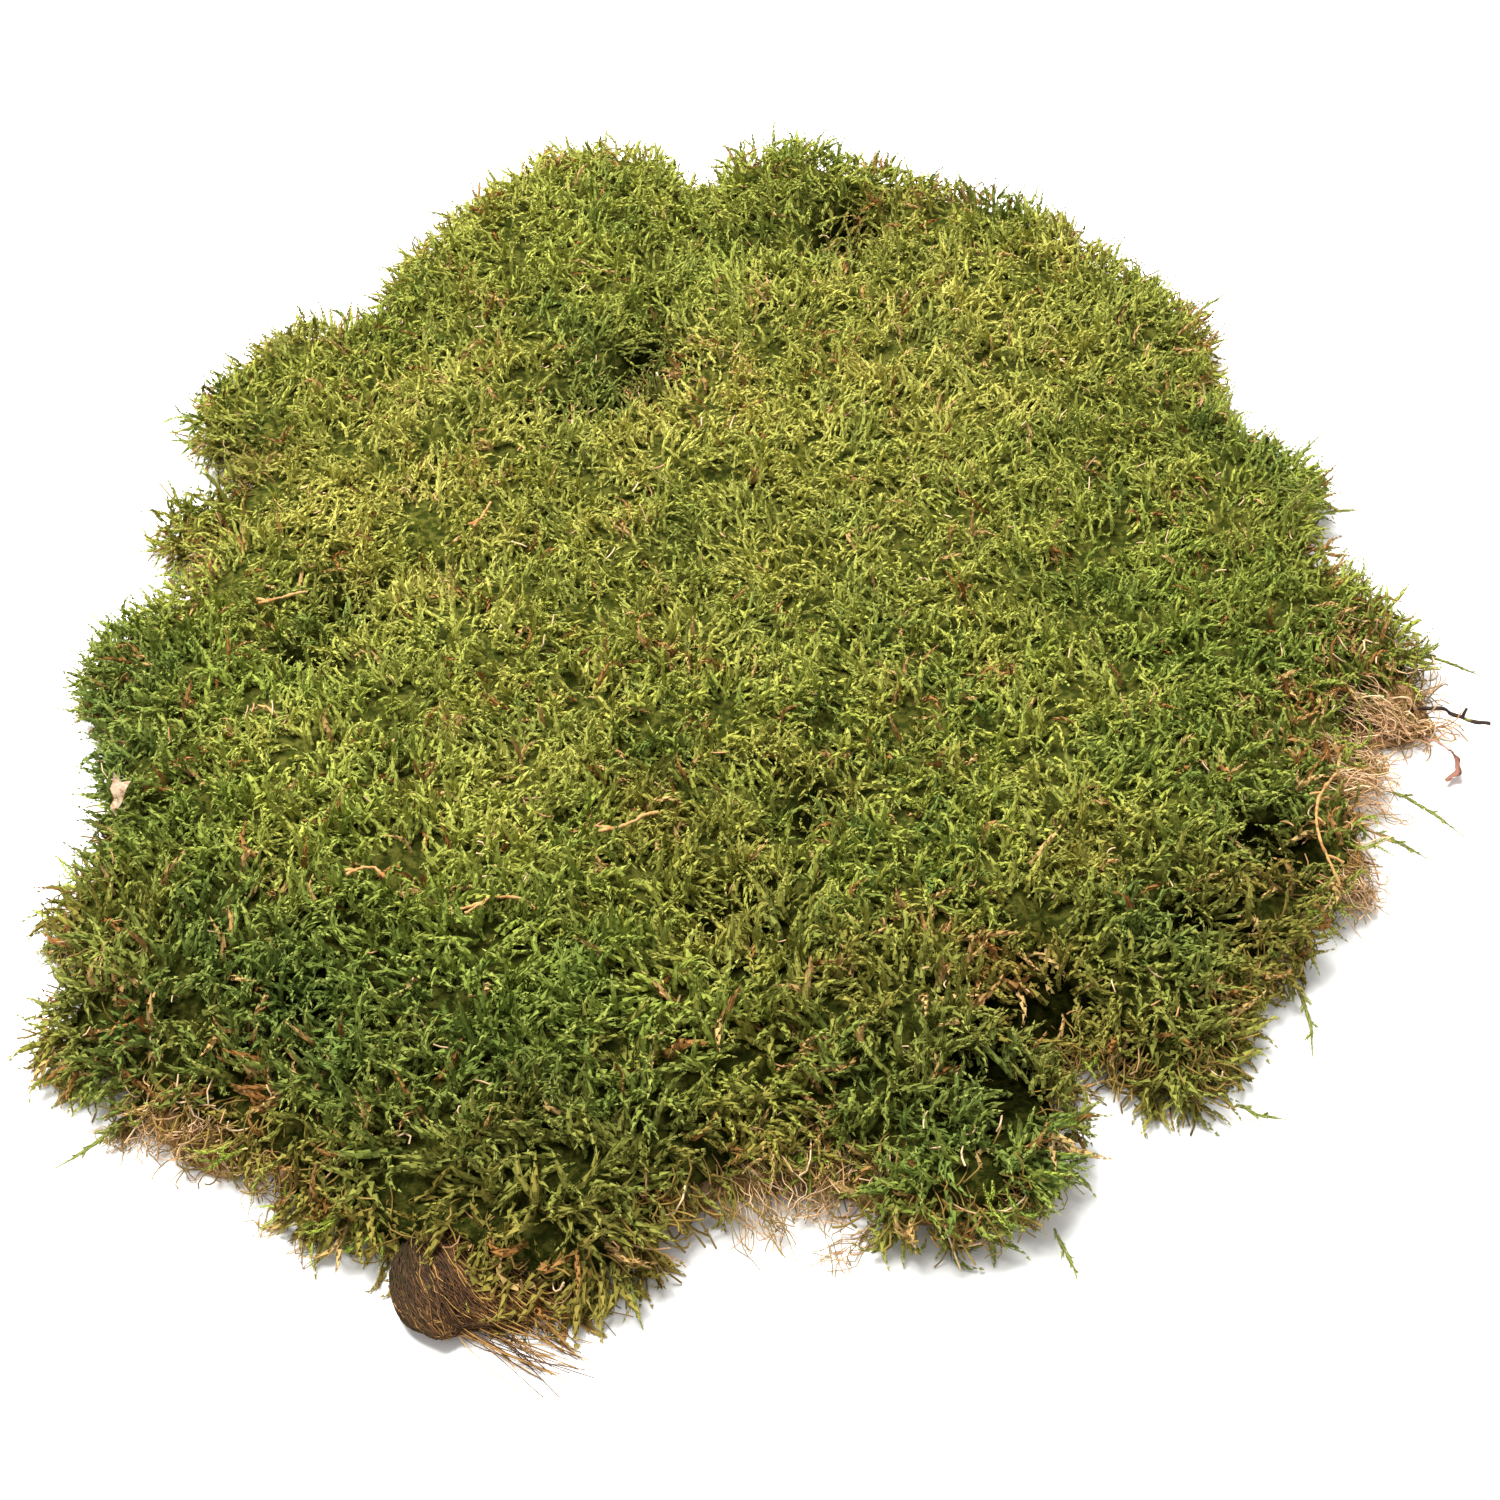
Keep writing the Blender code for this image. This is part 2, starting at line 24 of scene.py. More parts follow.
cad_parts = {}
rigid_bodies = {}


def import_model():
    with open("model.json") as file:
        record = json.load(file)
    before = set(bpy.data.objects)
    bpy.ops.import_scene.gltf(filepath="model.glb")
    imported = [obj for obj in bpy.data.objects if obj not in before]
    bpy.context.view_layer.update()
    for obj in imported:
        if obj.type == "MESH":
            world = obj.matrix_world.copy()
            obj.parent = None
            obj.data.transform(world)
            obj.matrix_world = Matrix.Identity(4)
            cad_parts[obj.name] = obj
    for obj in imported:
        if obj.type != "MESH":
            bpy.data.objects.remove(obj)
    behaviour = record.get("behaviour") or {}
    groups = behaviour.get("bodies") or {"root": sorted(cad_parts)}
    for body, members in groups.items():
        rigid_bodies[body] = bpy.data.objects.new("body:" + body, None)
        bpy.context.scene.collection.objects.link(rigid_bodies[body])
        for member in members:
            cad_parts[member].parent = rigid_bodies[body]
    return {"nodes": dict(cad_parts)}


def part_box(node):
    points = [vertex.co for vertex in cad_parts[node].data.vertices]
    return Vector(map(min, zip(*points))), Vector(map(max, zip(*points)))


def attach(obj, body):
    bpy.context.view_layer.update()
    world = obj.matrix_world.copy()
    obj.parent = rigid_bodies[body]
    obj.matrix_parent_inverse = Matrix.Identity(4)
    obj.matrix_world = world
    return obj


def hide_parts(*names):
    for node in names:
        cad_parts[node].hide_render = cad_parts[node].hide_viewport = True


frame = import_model()

log = logging.getLogger("moss_clump")

MM = 0.001
SEED = 11
BODY = "root"
Array = np.ndarray
Colour = tuple[float, float, float]
Route = tuple[tuple[float, float, float], ...]


# Node trees


@dataclass
class TreeMaker:
    """Short hand for building one node tree of any kind."""

    tree: NodeTree

    def node(self, kind: str, inputs: dict[Any, Any] | None = None, **settings: Any) -> Node:
        """Add a node.

        Args:
            kind: The node's type name.
            inputs: What feeds its inputs, by their names or numbers.
            settings: Properties to set on the node.

        Returns:
            The new node.
        """
        made = self.tree.nodes.new(kind)
        for name, value in settings.items():
            setattr(made, name, value)
        for key, value in (inputs or {}).items():
            self.feed(made.inputs[key], value)
        return made

    def feed(self, socket: NodeSocket, value: Any) -> None:
        """Link an output to an input, or set the input's own value.

        Args:
            socket: The input.
            value: An output socket, or a plain value.
        """
        if isinstance(value, NodeSocket):
            self.tree.links.new(value, socket)
        else:
            socket.default_value = value

    def math(self, operation: str, *values: Any) -> NodeSocket:
        """Add a Math node."""
        return self.node("ShaderNodeMath", dict(enumerate(values)), operation=operation).outputs[0]

    def vector_math(self, operation: str, *values: Any) -> NodeSocket:
        """Add a Vector Math node."""
        made = self.node("ShaderNodeVectorMath", dict(enumerate(values)), operation=operation)
        return made.outputs["Vector"]

    def remap(self, value: Any, source: tuple[float, float], target: tuple[float, float]) -> Any:
        """Map a range of values smoothly to another, clamped at both ends.

        Args:
            value: The value to map.
            source: The range it comes from.
            target: The range it goes to.

        Returns:
            The mapped value's socket.
        """
        names = ("Value", "From Min", "From Max", "To Min", "To Max")
        inputs = dict(zip(names, (value, *source, *target)))
        made = self.node("ShaderNodeMapRange", inputs, interpolation_type="SMOOTHSTEP")
        return made.outputs["Result"]

    def mix(self, share: Any, first: Any, second: Any) -> Any:
        """Mix two colours.

        Args:
            share: How much of the second shows.
            first: The first colour.
            second: The second colour.

        Returns:
            The mixed colour's socket.
        """
        pair = [(*value, 1.0) if isinstance(value, tuple) else value for value in (first, second)]
        made = self.node("ShaderNodeMix", {0: share, 6: pair[0], 7: pair[1]}, data_type="RGBA")
        return made.outputs[2]


class GeometryTree(TreeMaker):
    """A Geometry Nodes tree with a geometry input and output and named settings."""

    def __init__(self, name: str) -> None:
        """Start an empty tree.

        Args:
            name: The tree's name.
        """
        super().__init__(bpy.data.node_groups.new(name, "GeometryNodeTree"))
        for way in ("INPUT", "OUTPUT"):
            self.tree.interface.new_socket(name="Geometry", in_out=way, socket_type="NodeSocketGeometry")
        self.start = self.node("NodeGroupInput")
        self.end = self.node("NodeGroupOutput")

    def setting(self, name: str, kind: str, default: Any = None) -> NodeSocket:
        """Add a named input to the tree.

        Args:
            name: The input's name.
            kind: Its socket type, such as Float or Object.
            default: Its value where nothing else is set.

        Returns:
            The input as a socket inside the tree.
        """
        face = self.tree.interface
        socket = face.new_socket(name=name, in_out="INPUT", socket_type=f"NodeSocket{kind}")
        if default is not None:
            socket.default_value = default
        return self.start.outputs[name]

    def named(self, name: str, kind: str = "FLOAT") -> NodeSocket:
        """Read a named attribute."""
        made = self.node("GeometryNodeInputNamedAttribute", {"Name": name}, data_type=kind)
        return made.outputs["Attribute"]

    def store(self, geometry: Any, name: str, value: Any) -> NodeSocket:
        """Store a number on each point under a name.

        Args:
            geometry: The geometry to store it on.
            name: The attribute's name.
            value: The value or field.

        Returns:
            The geometry with the attribute.
        """
        inputs = {"Geometry": geometry, "Name": name, "Value": value}
        kinds = {"data_type": "FLOAT", "domain": "POINT"}
        return self.node("GeometryNodeStoreNamedAttribute", inputs, **kinds).outputs["Geometry"]

    def random(self, low: Any, high: Any, seed: Any) -> NodeSocket:
        """Make a random number or vector for each point.

        Args:
            low: The least value, a number or a tuple.
            high: The greatest value, of the same kind.
            seed: The seed.

        Returns:
            The random field.
        """
        first, kind = (0, "FLOAT_VECTOR") if isinstance(low, tuple) else (2, "FLOAT")
        inputs = {first: low, first + 1: high, "Seed": seed}
        return self.node("FunctionNodeRandomValue", inputs, data_type=kind).outputs[first // 2]

    def turned(self, vector: Any, angle: Any) -> NodeSocket:
        """Rotation that points local Z along a vector and turns round it.

        Args:
            vector: The direction.
            angle: The turn about that direction.

        Returns:
            The rotation field.
        """
        aim = self.node("FunctionNodeAlignRotationToVector", {"Vector": vector}, axis="Z")
        roll = self.node("FunctionNodeAxisAngleToRotation", {"Axis": (0.0, 0.0, 1.0), "Angle": angle})
        inputs = {"Rotation": aim.outputs["Rotation"], "Rotate By": roll.outputs["Rotation"]}
        return self.node("FunctionNodeRotateRotation", inputs, rotation_space="LOCAL").outputs[0]

    def finish(self, geometry: Any, material: Any) -> NodeTree:
        """End the tree: realize what it repeats and give it its material.

        Args:
            geometry: The geometry so far.
            material: The material input's socket.

        Returns:
            The whole tree.
        """
        real = self.node("GeometryNodeRealizeInstances", {"Geometry": geometry})
        inputs = {"Geometry": real.outputs["Geometry"], "Material": material}
        dressed = self.node("GeometryNodeSetMaterial", inputs)
        self.feed(self.end.inputs[0], dressed.outputs["Geometry"])
        return self.tree


def run_tree(name: str, source: Mesh, tree: NodeTree, **settings: Any) -> Mesh:
    """Run a Geometry Nodes tree on a mesh and keep what it makes as a plain mesh.

    Args:
        name: The new mesh's name.
        source: The mesh that goes in, which is removed afterwards.
        tree: The tree.
        settings: The tree's named inputs, with underscores for the spaces in their names.

    Returns:
        The plain mesh.
    """
    carrier = bpy.data.objects.new(name + "_source", source)
    bpy.context.scene.collection.objects.link(carrier)
    modifier = carrier.modifiers.new("nodes", "NODES")
    modifier.node_group = tree
    identifiers = {
        item.name: item.identifier
        for item in tree.interface.items_tree
        if item.item_type == "SOCKET" and item.in_out == "INPUT"
    }
    for key, value in settings.items():
        modifier[identifiers[key.replace("_", " ")]] = value
    graph = bpy.context.evaluated_depsgraph_get()
    made = bpy.data.meshes.new_from_object(
        carrier.evaluated_get(graph), preserve_all_data_layers=True, depsgraph=graph
    )
    made.name = name
    bpy.data.objects.remove(carrier)
    bpy.data.meshes.remove(source)
    return made


# Meshes and numbers


def smoothstep(low: float, high: float, value: Any) -> Any:
    """Rise smoothly from 0 at low to 1 at high."""
    share = np.clip((value - low) / (high - low), 0.0, 1.0)
    return share * share * (3.0 - 2.0 * share)


def unit(vectors: Array) -> Array:
    """Scale each row to length 1."""
    return vectors / np.maximum(np.linalg.norm(vectors, axis=-1, keepdims=True), 1e-12)


def field_noise(points: Array, size: float, layer: int) -> Array:
    """Smooth seeded noise over places, about -1 to 1."""
    shift = Vector((SEED * 1.7, layer * 9.1, layer * 4.3))
    return np.array([noise.noise(Vector(point) / size + shift) for point in points])


def plain_mesh(name: str, points: Array, faces: Iterable[Sequence[int]], **attributes: Array) -> Mesh:
    """Make a mesh from points and faces, with named values on its points.

    Args:
        name: The mesh's name.
        points: The points, one row each.
        faces: The faces' point numbers.
        attributes: Numbers or vectors for each point.

    Returns:
        The mesh.
    """
    mesh = bpy.data.meshes.new(name)
    mesh.from_pydata([tuple(point) for point in points], [], [tuple(face) for face in faces])
    for key, values in attributes.items():
        is_vector = values.ndim == 2
        layer = mesh.attributes.new(key, "FLOAT_VECTOR" if is_vector else "FLOAT", "POINT")
        layer.data.foreach_set("vector" if is_vector else "value", values.astype(float).ravel())
    mesh.update()
    return mesh


def path_mesh(name: str, paths: Sequence[Array], **attributes: Sequence[float]) -> Mesh:
    """Make a mesh of loose edges that follows one or more paths.

    Args:
        name: The mesh's name.
        paths: The points of each path.
        attributes: One number for each path.

    Returns:
        The mesh.
    """
    points = np.concatenate(list(paths))
    edges = []
    first = 0
    for path in paths:
        edges += [(first + step, first + step + 1) for step in range(len(path) - 1)]
        first += len(path)
    mesh = bpy.data.meshes.new(name)
    mesh.from_pydata([tuple(point) for point in points], edges, [])
    for key, values in attributes.items():
        layer = mesh.attributes.new(key, "FLOAT", "POINT")
        layer.data.foreach_set("value", np.repeat(values, [len(path) for path in paths]))
    return mesh


def show(name: str, mesh: Mesh) -> Object:
    """Put a mesh in the scene as an object at the origin.

    Args:
        name: The object's name.
        mesh: The mesh.

    Returns:
        The object.
    """
    obj = bpy.data.objects.new(name, mesh)
    bpy.context.scene.collection.objects.link(obj)
    return obj


def keep(obj: Object, slot: str, *nodes: str) -> None:
    """Hand a finished piece over: it rides on the clump's body and stands for some solids.

    Args:
        obj: The piece.
        slot: The record's material slot; not used.
        nodes: The solids that the piece stands for.
    """
    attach(obj, BODY)
    if nodes:
        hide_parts(*nodes)
    triangles = sum(len(face.vertices) - 2 for face in obj.data.polygons)
    log.info("%s: %d triangles", obj.name, triangles)


def merged_copy(node: str) -> BMesh:
    """Copy a solid's mesh and join its loose triangles.

    Args:
        node: The solid's name.

    Returns:
        The joined copy, which the caller frees.
    """
    bm = bmesh.new()
    bm.from_mesh(frame["nodes"][node].data)
    bmesh.ops.remove_doubles(bm, verts=bm.verts, dist=1e-6)
    return bm


def solid_tree(*nodes: str) -> BVHTree:
    """Search tree over the surfaces of some solids.

    Args:
        nodes: The solids' names.

    Returns:
        The tree.
    """
    points: list[Vector] = []
    faces: list[tuple[int, ...]] = []
    for node in nodes:
        mesh = frame["nodes"][node].data
        first = len(points)
        points += [vert.co.copy() for vert in mesh.vertices]
        faces += [tuple(first + index for index in face.vertices) for face in mesh.polygons]
    return BVHTree.FromPolygons(points, faces)


# What grows where


class Growth(Enum):
    """What a patch of the carpet has more of than the rest."""

    LUSH = "lush"
    PALE = "pale"
    DEEP = "deep"
    OLD = "old"
    DRY = "dry"
    HANGING = "hanging"
    TRIM = "trim"
    REACH = "reach"
    HOLLOW = "hollow"


@dataclass(frozen=True)
class Patch:
    """A round patch of the carpet where it grows in its own way, in millimetres."""

    x: float  # middle, towards +X
    y: float  # middle, towards +Y
    reach: float  # how far it reaches, in x and y alike
    strength: float = 1.0  # how strong it is in the middle, from 0 to 1

    def share(self, points: Array) -> Array:
        """Strength of the patch at each place, from its middle outwards."""
        away = np.hypot(points[:, 0] - self.x * MM, points[:, 1] - self.y * MM)
        return self.strength * np.exp(-((away / (self.reach * MM)) ** 2))


# Middle in x and y, reach and strength of each patch.
ROWS: dict[Growth, list[tuple[float, ...]]] = {
    Growth.LUSH: [
        (-55, 160, 60, 0.35), (-140, -60, 45, 0.5), (120, -20, 45, 0.5), (-70, -115, 35, 0.6),
        (-50, -180, 60, 0.5), (-110, -160, 30, 0.4),
    ],
    Growth.PALE: [
        (20, 30, 75, 0.45), (60, 120, 55, 0.6), (-90, 50, 60, 0.6), (-20, 90, 20, 0.9),
        (-80, -70, 50, 0.4), (-125, 15, 25, 0.5), (-60, 175, 55, 0.4),
    ],
    # Dark patches: partly darker green shoots, partly painted shade towards the front and on the left
    # side.
    Growth.DEEP: [
        (-105, -155, 35, 0.7), (-135, -145, 25, 0.6), (-160, -80, 25, 0.9), (-50, -185, 45, 0.8),
        (55, -175, 35, 0.8), (20, -160, 20, 0.4), (120, -105, 35, 0.5), (130, -30, 45, 0.4),
        (-40, 85, 20, 0.6), (-160, -40, 20, 0.8), (90, -145, 25, 0.5),
    ],
    Growth.OLD: [
        (-120, -190, 25, 0.8), (-60, -210, 35, 0.9), (-5, -190, 25, 0.8), (55, -140, 25, 0.8),
        (-155, -130, 20, 0.6), (10, -140, 25, 0.5), (120, -125, 25, 0.6), (-25, -95, 35, 0.6),
        (40, 170, 30, 0.3), (-90, 120, 15, 0.6), (-140, 100, 15, 0.6), (-145, 45, 15, 0.7),
        (150, 20, 15, 0.6), (90, -150, 20, 0.3), (75, -100, 20, 0.4),
    ],
    Growth.DRY: [
        (165, -55, 25), (160, -80, 15, 0.8), (145, -105, 15, 0.6), (155, -20, 10, 0.7),
        (70, 195, 25, 0.6), (130, 110, 15, 0.35), (-20, 85, 15, 0.5), (10, -195, 20, 0.6),
        (55, -135, 15, 0.4), (-130, -175, 25, 0.5), (-160, 10, 15, 0.4), (160, 10, 10, 0.6),
    ],
    Growth.HANGING: [(-60, -205, 30)],
    Growth.TRIM: [
        (-180, -20, 15), (-175, -60, 15), (-175, -90, 25), (-170, -135, 15), (-165, -170, 20),
        (-170, 15, 10, 0.8), (-160, 55, 15), (-95, -205, 15), (-10, -210, 20), (0, -200, 15),
        (40, -215, 20), (60, -220, 20), (80, -200, 15), (80, -175, 20), (120, -150, 20),
        (145, -120, 25), (160, 25, 20),
    ],
    Growth.REACH: [
        (-105, 185, 15, 0.9), (-120, 145, 15, 0.8), (-145, 125, 15, 0.6), (-120, -185, 15, 0.8),
        (15, 220, 25, 0.9), (60, 200, 25, 0.8), (100, 180, 25, 0.8), (135, 110, 20, 0.9),
        (150, 65, 20, 0.9), (170, -10, 15, 0.7), (-165, 35, 10, 0.9), (95, -170, 15, 0.7),
    ],
    # Hollows: the bed sinks and fewer shoots grow there, and painted shade darkens the bed and the
    # shoots.
    Growth.HOLLOW: [
        (-60, 70, 10, 0.9), (-40, 85, 10, 0.9), (-30, 100, 10, 0.9), (30, 170, 10),
        (25, 155, 10, 0.7), (0, 150, 10, 0.7), (-110, -10, 10, 0.7), (-120, -35, 10, 0.6),
        (65, -155, 12), (45, -170, 10, 0.5), (15, -85, 10, 0.6), (-5, -125, 10, 0.6),
        (125, -95, 12, 0.7), (-100, -150, 10, 0.4), (60, -140, 10, 0.7), (-155, -95, 10, 0.4),
        (105, -120, 10, 0.5),
    ],
}
PATCHES = {growth: [Patch(*row) for row in rows] for growth, rows in ROWS.items()}


def growth_share(points: Array, growth: Growth) -> Array:
    """Sum of the patches of one kind at each place."""
    return np.clip(np.sum([patch.share(points) for patch in PATCHES[growth]], axis=0), 0.0, 1.0)


def bald(points: Array) -> Array:
    """Which places the carpet has drawn back from, so that the felt shows."""
    return np.maximum(growth_share(points, Growth.DRY), growth_share(points, Growth.TRIM)) > 0.62


# Finishes


def mottle_group() -> NodeTree:
    """Build the mottle group: a colour goes in, and comes out lighter and darker in spots.

    Returns:
        The group.
    """
    tree = bpy.data.node_groups.new("mottle", "ShaderNodeTree")
    sockets = {"INPUT": ("Colour", "Size", "Amount"), "OUTPUT": ("Colour", "Height")}
    for way, names in sockets.items():
        for name in names:
            kind = "NodeSocketColor" if name == "Colour" else "NodeSocketFloat"
            tree.interface.new_socket(name=name, in_out=way, socket_type=kind)
    maker = TreeMaker(tree)
    start = maker.node("NodeGroupInput")
    end = maker.node("NodeGroupOutput")
    place = maker.node("ShaderNodeTexCoord").outputs["Object"]
    scale = maker.math("DIVIDE", 1.0, start.outputs["Size"])
    inputs = {"Vector": place, "Scale": scale, "Detail": 3.0}
    spots = maker.node("ShaderNodeTexNoise", inputs, noise_dimensions="3D")
    swing = maker.math("SUBTRACT", spots.outputs["Fac"], 0.5)
    change = maker.math("MULTIPLY_ADD", swing, start.outputs["Amount"], 0.5)
    inputs = {0: start.outputs["Colour"], "Scale": maker.math("MULTIPLY", change, 2.0)}
    scaled = maker.node("ShaderNodeVectorMath", inputs, operation="SCALE")
    maker.feed(end.inputs["Colour"], scaled.outputs[0])
    maker.feed(end.inputs["Height"], spots.outputs["Fac"])
    return tree


MOTTLE = mottle_group()


class Finish:
    """Common parts of every finish."""

    name: str

    def start(self) -> tuple[Material, TreeMaker, Node]:
        """Make the material with its shader.

        Returns:
            The material, a maker for its tree and its Principled shader.
        """
        material = bpy.data.materials.new(self.name)
        material.use_nodes = True
        shader = material.node_tree.nodes["Principled BSDF"]
        return material, TreeMaker(material.node_tree), shader

    def material(self) -> Material:
        """The finish's one material, built when it is first asked for."""
        return bpy.data.materials.get(self.name) or self.build()

    @staticmethod
    def attribute(maker: TreeMaker, name: str) -> NodeSocket:
        """Read a number that the mesh carries."""
        return maker.node("ShaderNodeAttribute", attribute_name=name).outputs["Fac"]

    @staticmethod
    def mottled(maker: TreeMaker, colour: Any, size: float, amount: float) -> Node:
        """Place the mottle group.

        Args:
            maker: The material's maker.
            colour: The colour to mottle.
            size: The size of the spots.
            amount: How strong they are.

        Returns:
            The group's node.
        """
        paint = (*colour, 1.0) if isinstance(colour, tuple) else colour
        inputs = {"Colour": paint, "Size": size, "Amount": amount}
        return maker.node("ShaderNodeGroup", inputs, node_tree=MOTTLE)


@dataclass(frozen=True)
class MossFinish(Finish):
    """Living shoots: dark at the root from their older base and from painted shade, yellow-green at the
    tip, tan where they have withered.
    """

    name: str = "moss_leaves"
    root: Colour = (0.080, 0.078, 0.009)  # colour deep in the carpet: older stems, with painted shade
    deep: Colour = (0.121, 0.173, 0.034)  # the darkest living shoots, also painted shade in hollows, creases and on the sides
    green: Colour = (0.325, 0.355, 0.056)  # most living shoots
    lush: Colour = (0.290, 0.390, 0.052)  # the freshest shoots
    pale: Colour = (0.515, 0.480, 0.110)  # the yellowest shoots
    tip: Colour = (0.450, 0.460, 0.125)  # the youngest leaves
    old: Colour = (0.236, 0.180, 0.036)  # old olive-brown shoots
    rust: Colour = (0.260, 0.120, 0.032)  # darkest colour of a withered shoot
    straw: Colour = (0.480, 0.320, 0.120)  # lightest colour of a withered shoot
    painted_dark: Colour = (0.024, 0.032, 0.006)  # painted shade at the root where the shoots are darkest
    roughness: float = 0.60

    def build(self) -> Material:
        """Build the material.

        Returns:
            The material.
        """
        material, maker, shader = self.start()
        rise = self.attribute(maker, "rise")
        tone = self.attribute(maker, "tone")
        live = maker.mix(maker.remap(tone, (0.0, 0.6), (0.0, 1.0)), self.deep, self.green)
        # The deep number mixes in the darkest green, partly as painted shade.
        for name in ("lush", "pale", "deep", "old"):
            live = maker.mix(self.attribute(maker, name), live, getattr(self, name))
        young = maker.math("MULTIPLY", maker.remap(rise, (0.6, 1.0), (0.0, 0.45)), tone)
        fresh = maker.remap(self.attribute(maker, "old"), (0.2, 0.9), (1.0, 0.2))
        live = maker.mix(maker.math("MULTIPLY", young, fresh), live, self.tip)
        dead = maker.mix(maker.remap(tone, (0.1, 0.9), (0.0, 1.0)), self.rust, self.straw)
        shoot = maker.mix(self.attribute(maker, "withered"), live, dead)
        # Towards the root the shoots darken: partly their older base, partly painted shade that grows
        # with the painted shade number.
        base_and_shade = maker.math("MULTIPLY_ADD", self.attribute(maker, "shade"), 0.35, 0.65)
        base_and_shade = maker.math("MULTIPLY", base_and_shade, maker.remap(rise, (0.0, 0.40), (0.80, 0.0)))
        whole = maker.mix(base_and_shade, shoot, self.root)
        # Painted shade in the gaps: the roots of the dark and hollow-grown shoots go darker still.
        gap_shade = maker.remap(rise, (0.0, 0.60), (0.65, 0.0))
        gap_shade = maker.math("MULTIPLY", gap_shade, self.attribute(maker, "deep"))
        whole = maker.mix(gap_shade, whole, self.painted_dark)
        spots = self.mottled(maker, whole, 1.1 * MM, 0.5)
        maker.feed(shader.inputs["Base Color"], spots.outputs["Colour"])
        rough = maker.remap(spots.outputs["Height"], (0.3, 0.7), (self.roughness, 0.8))
        maker.feed(shader.inputs["Roughness"], rough)
        shader.inputs["Specular IOR Level"].default_value = 0.08
        return material


DEAD_FIBRES = MossFinish(
    name="dead_fibres", root=(0.100, 0.055, 0.016), deep=(0.150, 0.088, 0.024),
    green=(0.330, 0.220, 0.066), tip=(0.440, 0.320, 0.120), old=(0.210, 0.140, 0.032),
    rust=(0.430, 0.230, 0.105), straw=(0.740, 0.530, 0.320), roughness=0.70
)
ROOT_FIBRES = MossFinish(
    name="root_fibres", root=(0.024, 0.013, 0.008), deep=(0.045, 0.026, 0.016),
    green=(0.110, 0.056, 0.024), tip=(0.140, 0.074, 0.028), rust=(0.170, 0.075, 0.022),
    straw=(0.440, 0.250, 0.075), roughness=0.60
)
SPRIG_LEAVES = MossFinish(
    name="sprig_leaves", root=(0.110, 0.085, 0.025), deep=(0.100, 0.115, 0.028),
    green=(0.210, 0.235, 0.048), tip=(0.310, 0.320, 0.095)
)


@dataclass(frozen=True)
class DryFinish(Finish):
    """Felt, stem, root, leaf or bark: one colour with spots of another."""

    name: str
    colour: Colour
    spots: Colour
    size: float = 2.0 * MM  # size of the spots
    share: float = 0.52  # middle of the noise range where the spots begin, lower for more of them
    relief: float = 0.2 * MM  # depth of its bumps
    roughness: float = 0.80
    shine: float = 0.2  # how much it reflects straight on
    shade: str = ""  # a number on the mesh that darkens it with painted shade, if it has one

    def build(self) -> Material:
        """Build the material.

        Returns:
            The material.
        """
        material, maker, shader = self.start()
        spread = self.mottled(maker, self.colour, self.size, 0.6)
        band = (self.share - 0.08, self.share + 0.08)
        share = maker.remap(spread.outputs["Height"], band, (0.0, 1.0))
        colour = maker.mix(share, spread.outputs["Colour"], self.spots)
        # Painted shade: the mesh's number darkens the colour towards black.
        if self.shade:
            painted_dark = maker.remap(self.attribute(maker, self.shade), (0.0, 0.5), (0.0, 0.92))
            colour = maker.mix(painted_dark, colour, (0.0, 0.0, 0.0))
        maker.feed(shader.inputs["Base Color"], colour)
        shader.inputs["Roughness"].default_value = self.roughness
        shader.inputs["Specular IOR Level"].default_value = self.shine
        fine = self.mottled(maker, self.colour, self.size * 0.35, 0.6)
        inputs = {"Strength": 0.8, "Distance": self.relief, "Height": fine.outputs["Height"]}
        bump = maker.node("ShaderNodeBump", inputs)
        maker.feed(shader.inputs["Normal"], bump.outputs["Normal"])
        return material


# The bed's own dark colour, darkened further towards black by its painted shade number.
OLD_GROWTH = DryFinish(
    name="old_growth", colour=(0.034, 0.042, 0.007), spots=(0.088, 0.088, 0.016), relief=1.0 * MM,
    roughness=1.0, shine=0.0, shade="shade"
)
BROWN_FELT = DryFinish(
    "brown_felt", (0.300, 0.165, 0.070), (0.540, 0.350, 0.180), 2.2 * MM, 0.55, 0.8 * MM, 1.0, 0.0
)
ROOT_FELT = DryFinish(
    "root_felt", (0.036, 0.021, 0.013), (0.085, 0.046, 0.024), 1.8 * MM, 0.54, 0.6 * MM, 0.9, 0.1
)
STRAW = DryFinish("dry_straw", (0.500, 0.310, 0.120), (0.340, 0.160, 0.050), 2.4 * MM)
TAN_ROOT = DryFinish("tan_root", (0.500, 0.290, 0.100), (0.280, 0.130, 0.045), 2.0 * MM)
TWIG_BARK = DryFinish("twig_bark", (0.040, 0.024, 0.020), (0.260, 0.270, 0.060), 4.5 * MM, 0.60)
DEAD_LEAF = DryFinish("dead_leaf", (0.420, 0.150, 0.110), (0.560, 0.310, 0.140), 2.2 * MM)
PALE_BARK = DryFinish("pale_bark", (0.600, 0.440, 0.310), (0.400, 0.230, 0.130), 1.4 * MM, 0.58)


@dataclass(frozen=True)
class PaperFinish(Finish):
    """Plain pale surface that the clump lies on."""

    name: str = "pale_floor"
    colour: Colour = (0.93, 0.93, 0.925)

    def build(self) -> Material:
        """Build the material.

        Returns:
            The material.
        """
        material, _, shader = self.start()
        shader.inputs["Base Color"].default_value = (*self.colour, 1.0)
        shader.inputs["Roughness"].default_value = 0.9
        shader.inputs["Specular IOR Level"].default_value = 0.1
        return material


# Shoots and fibres


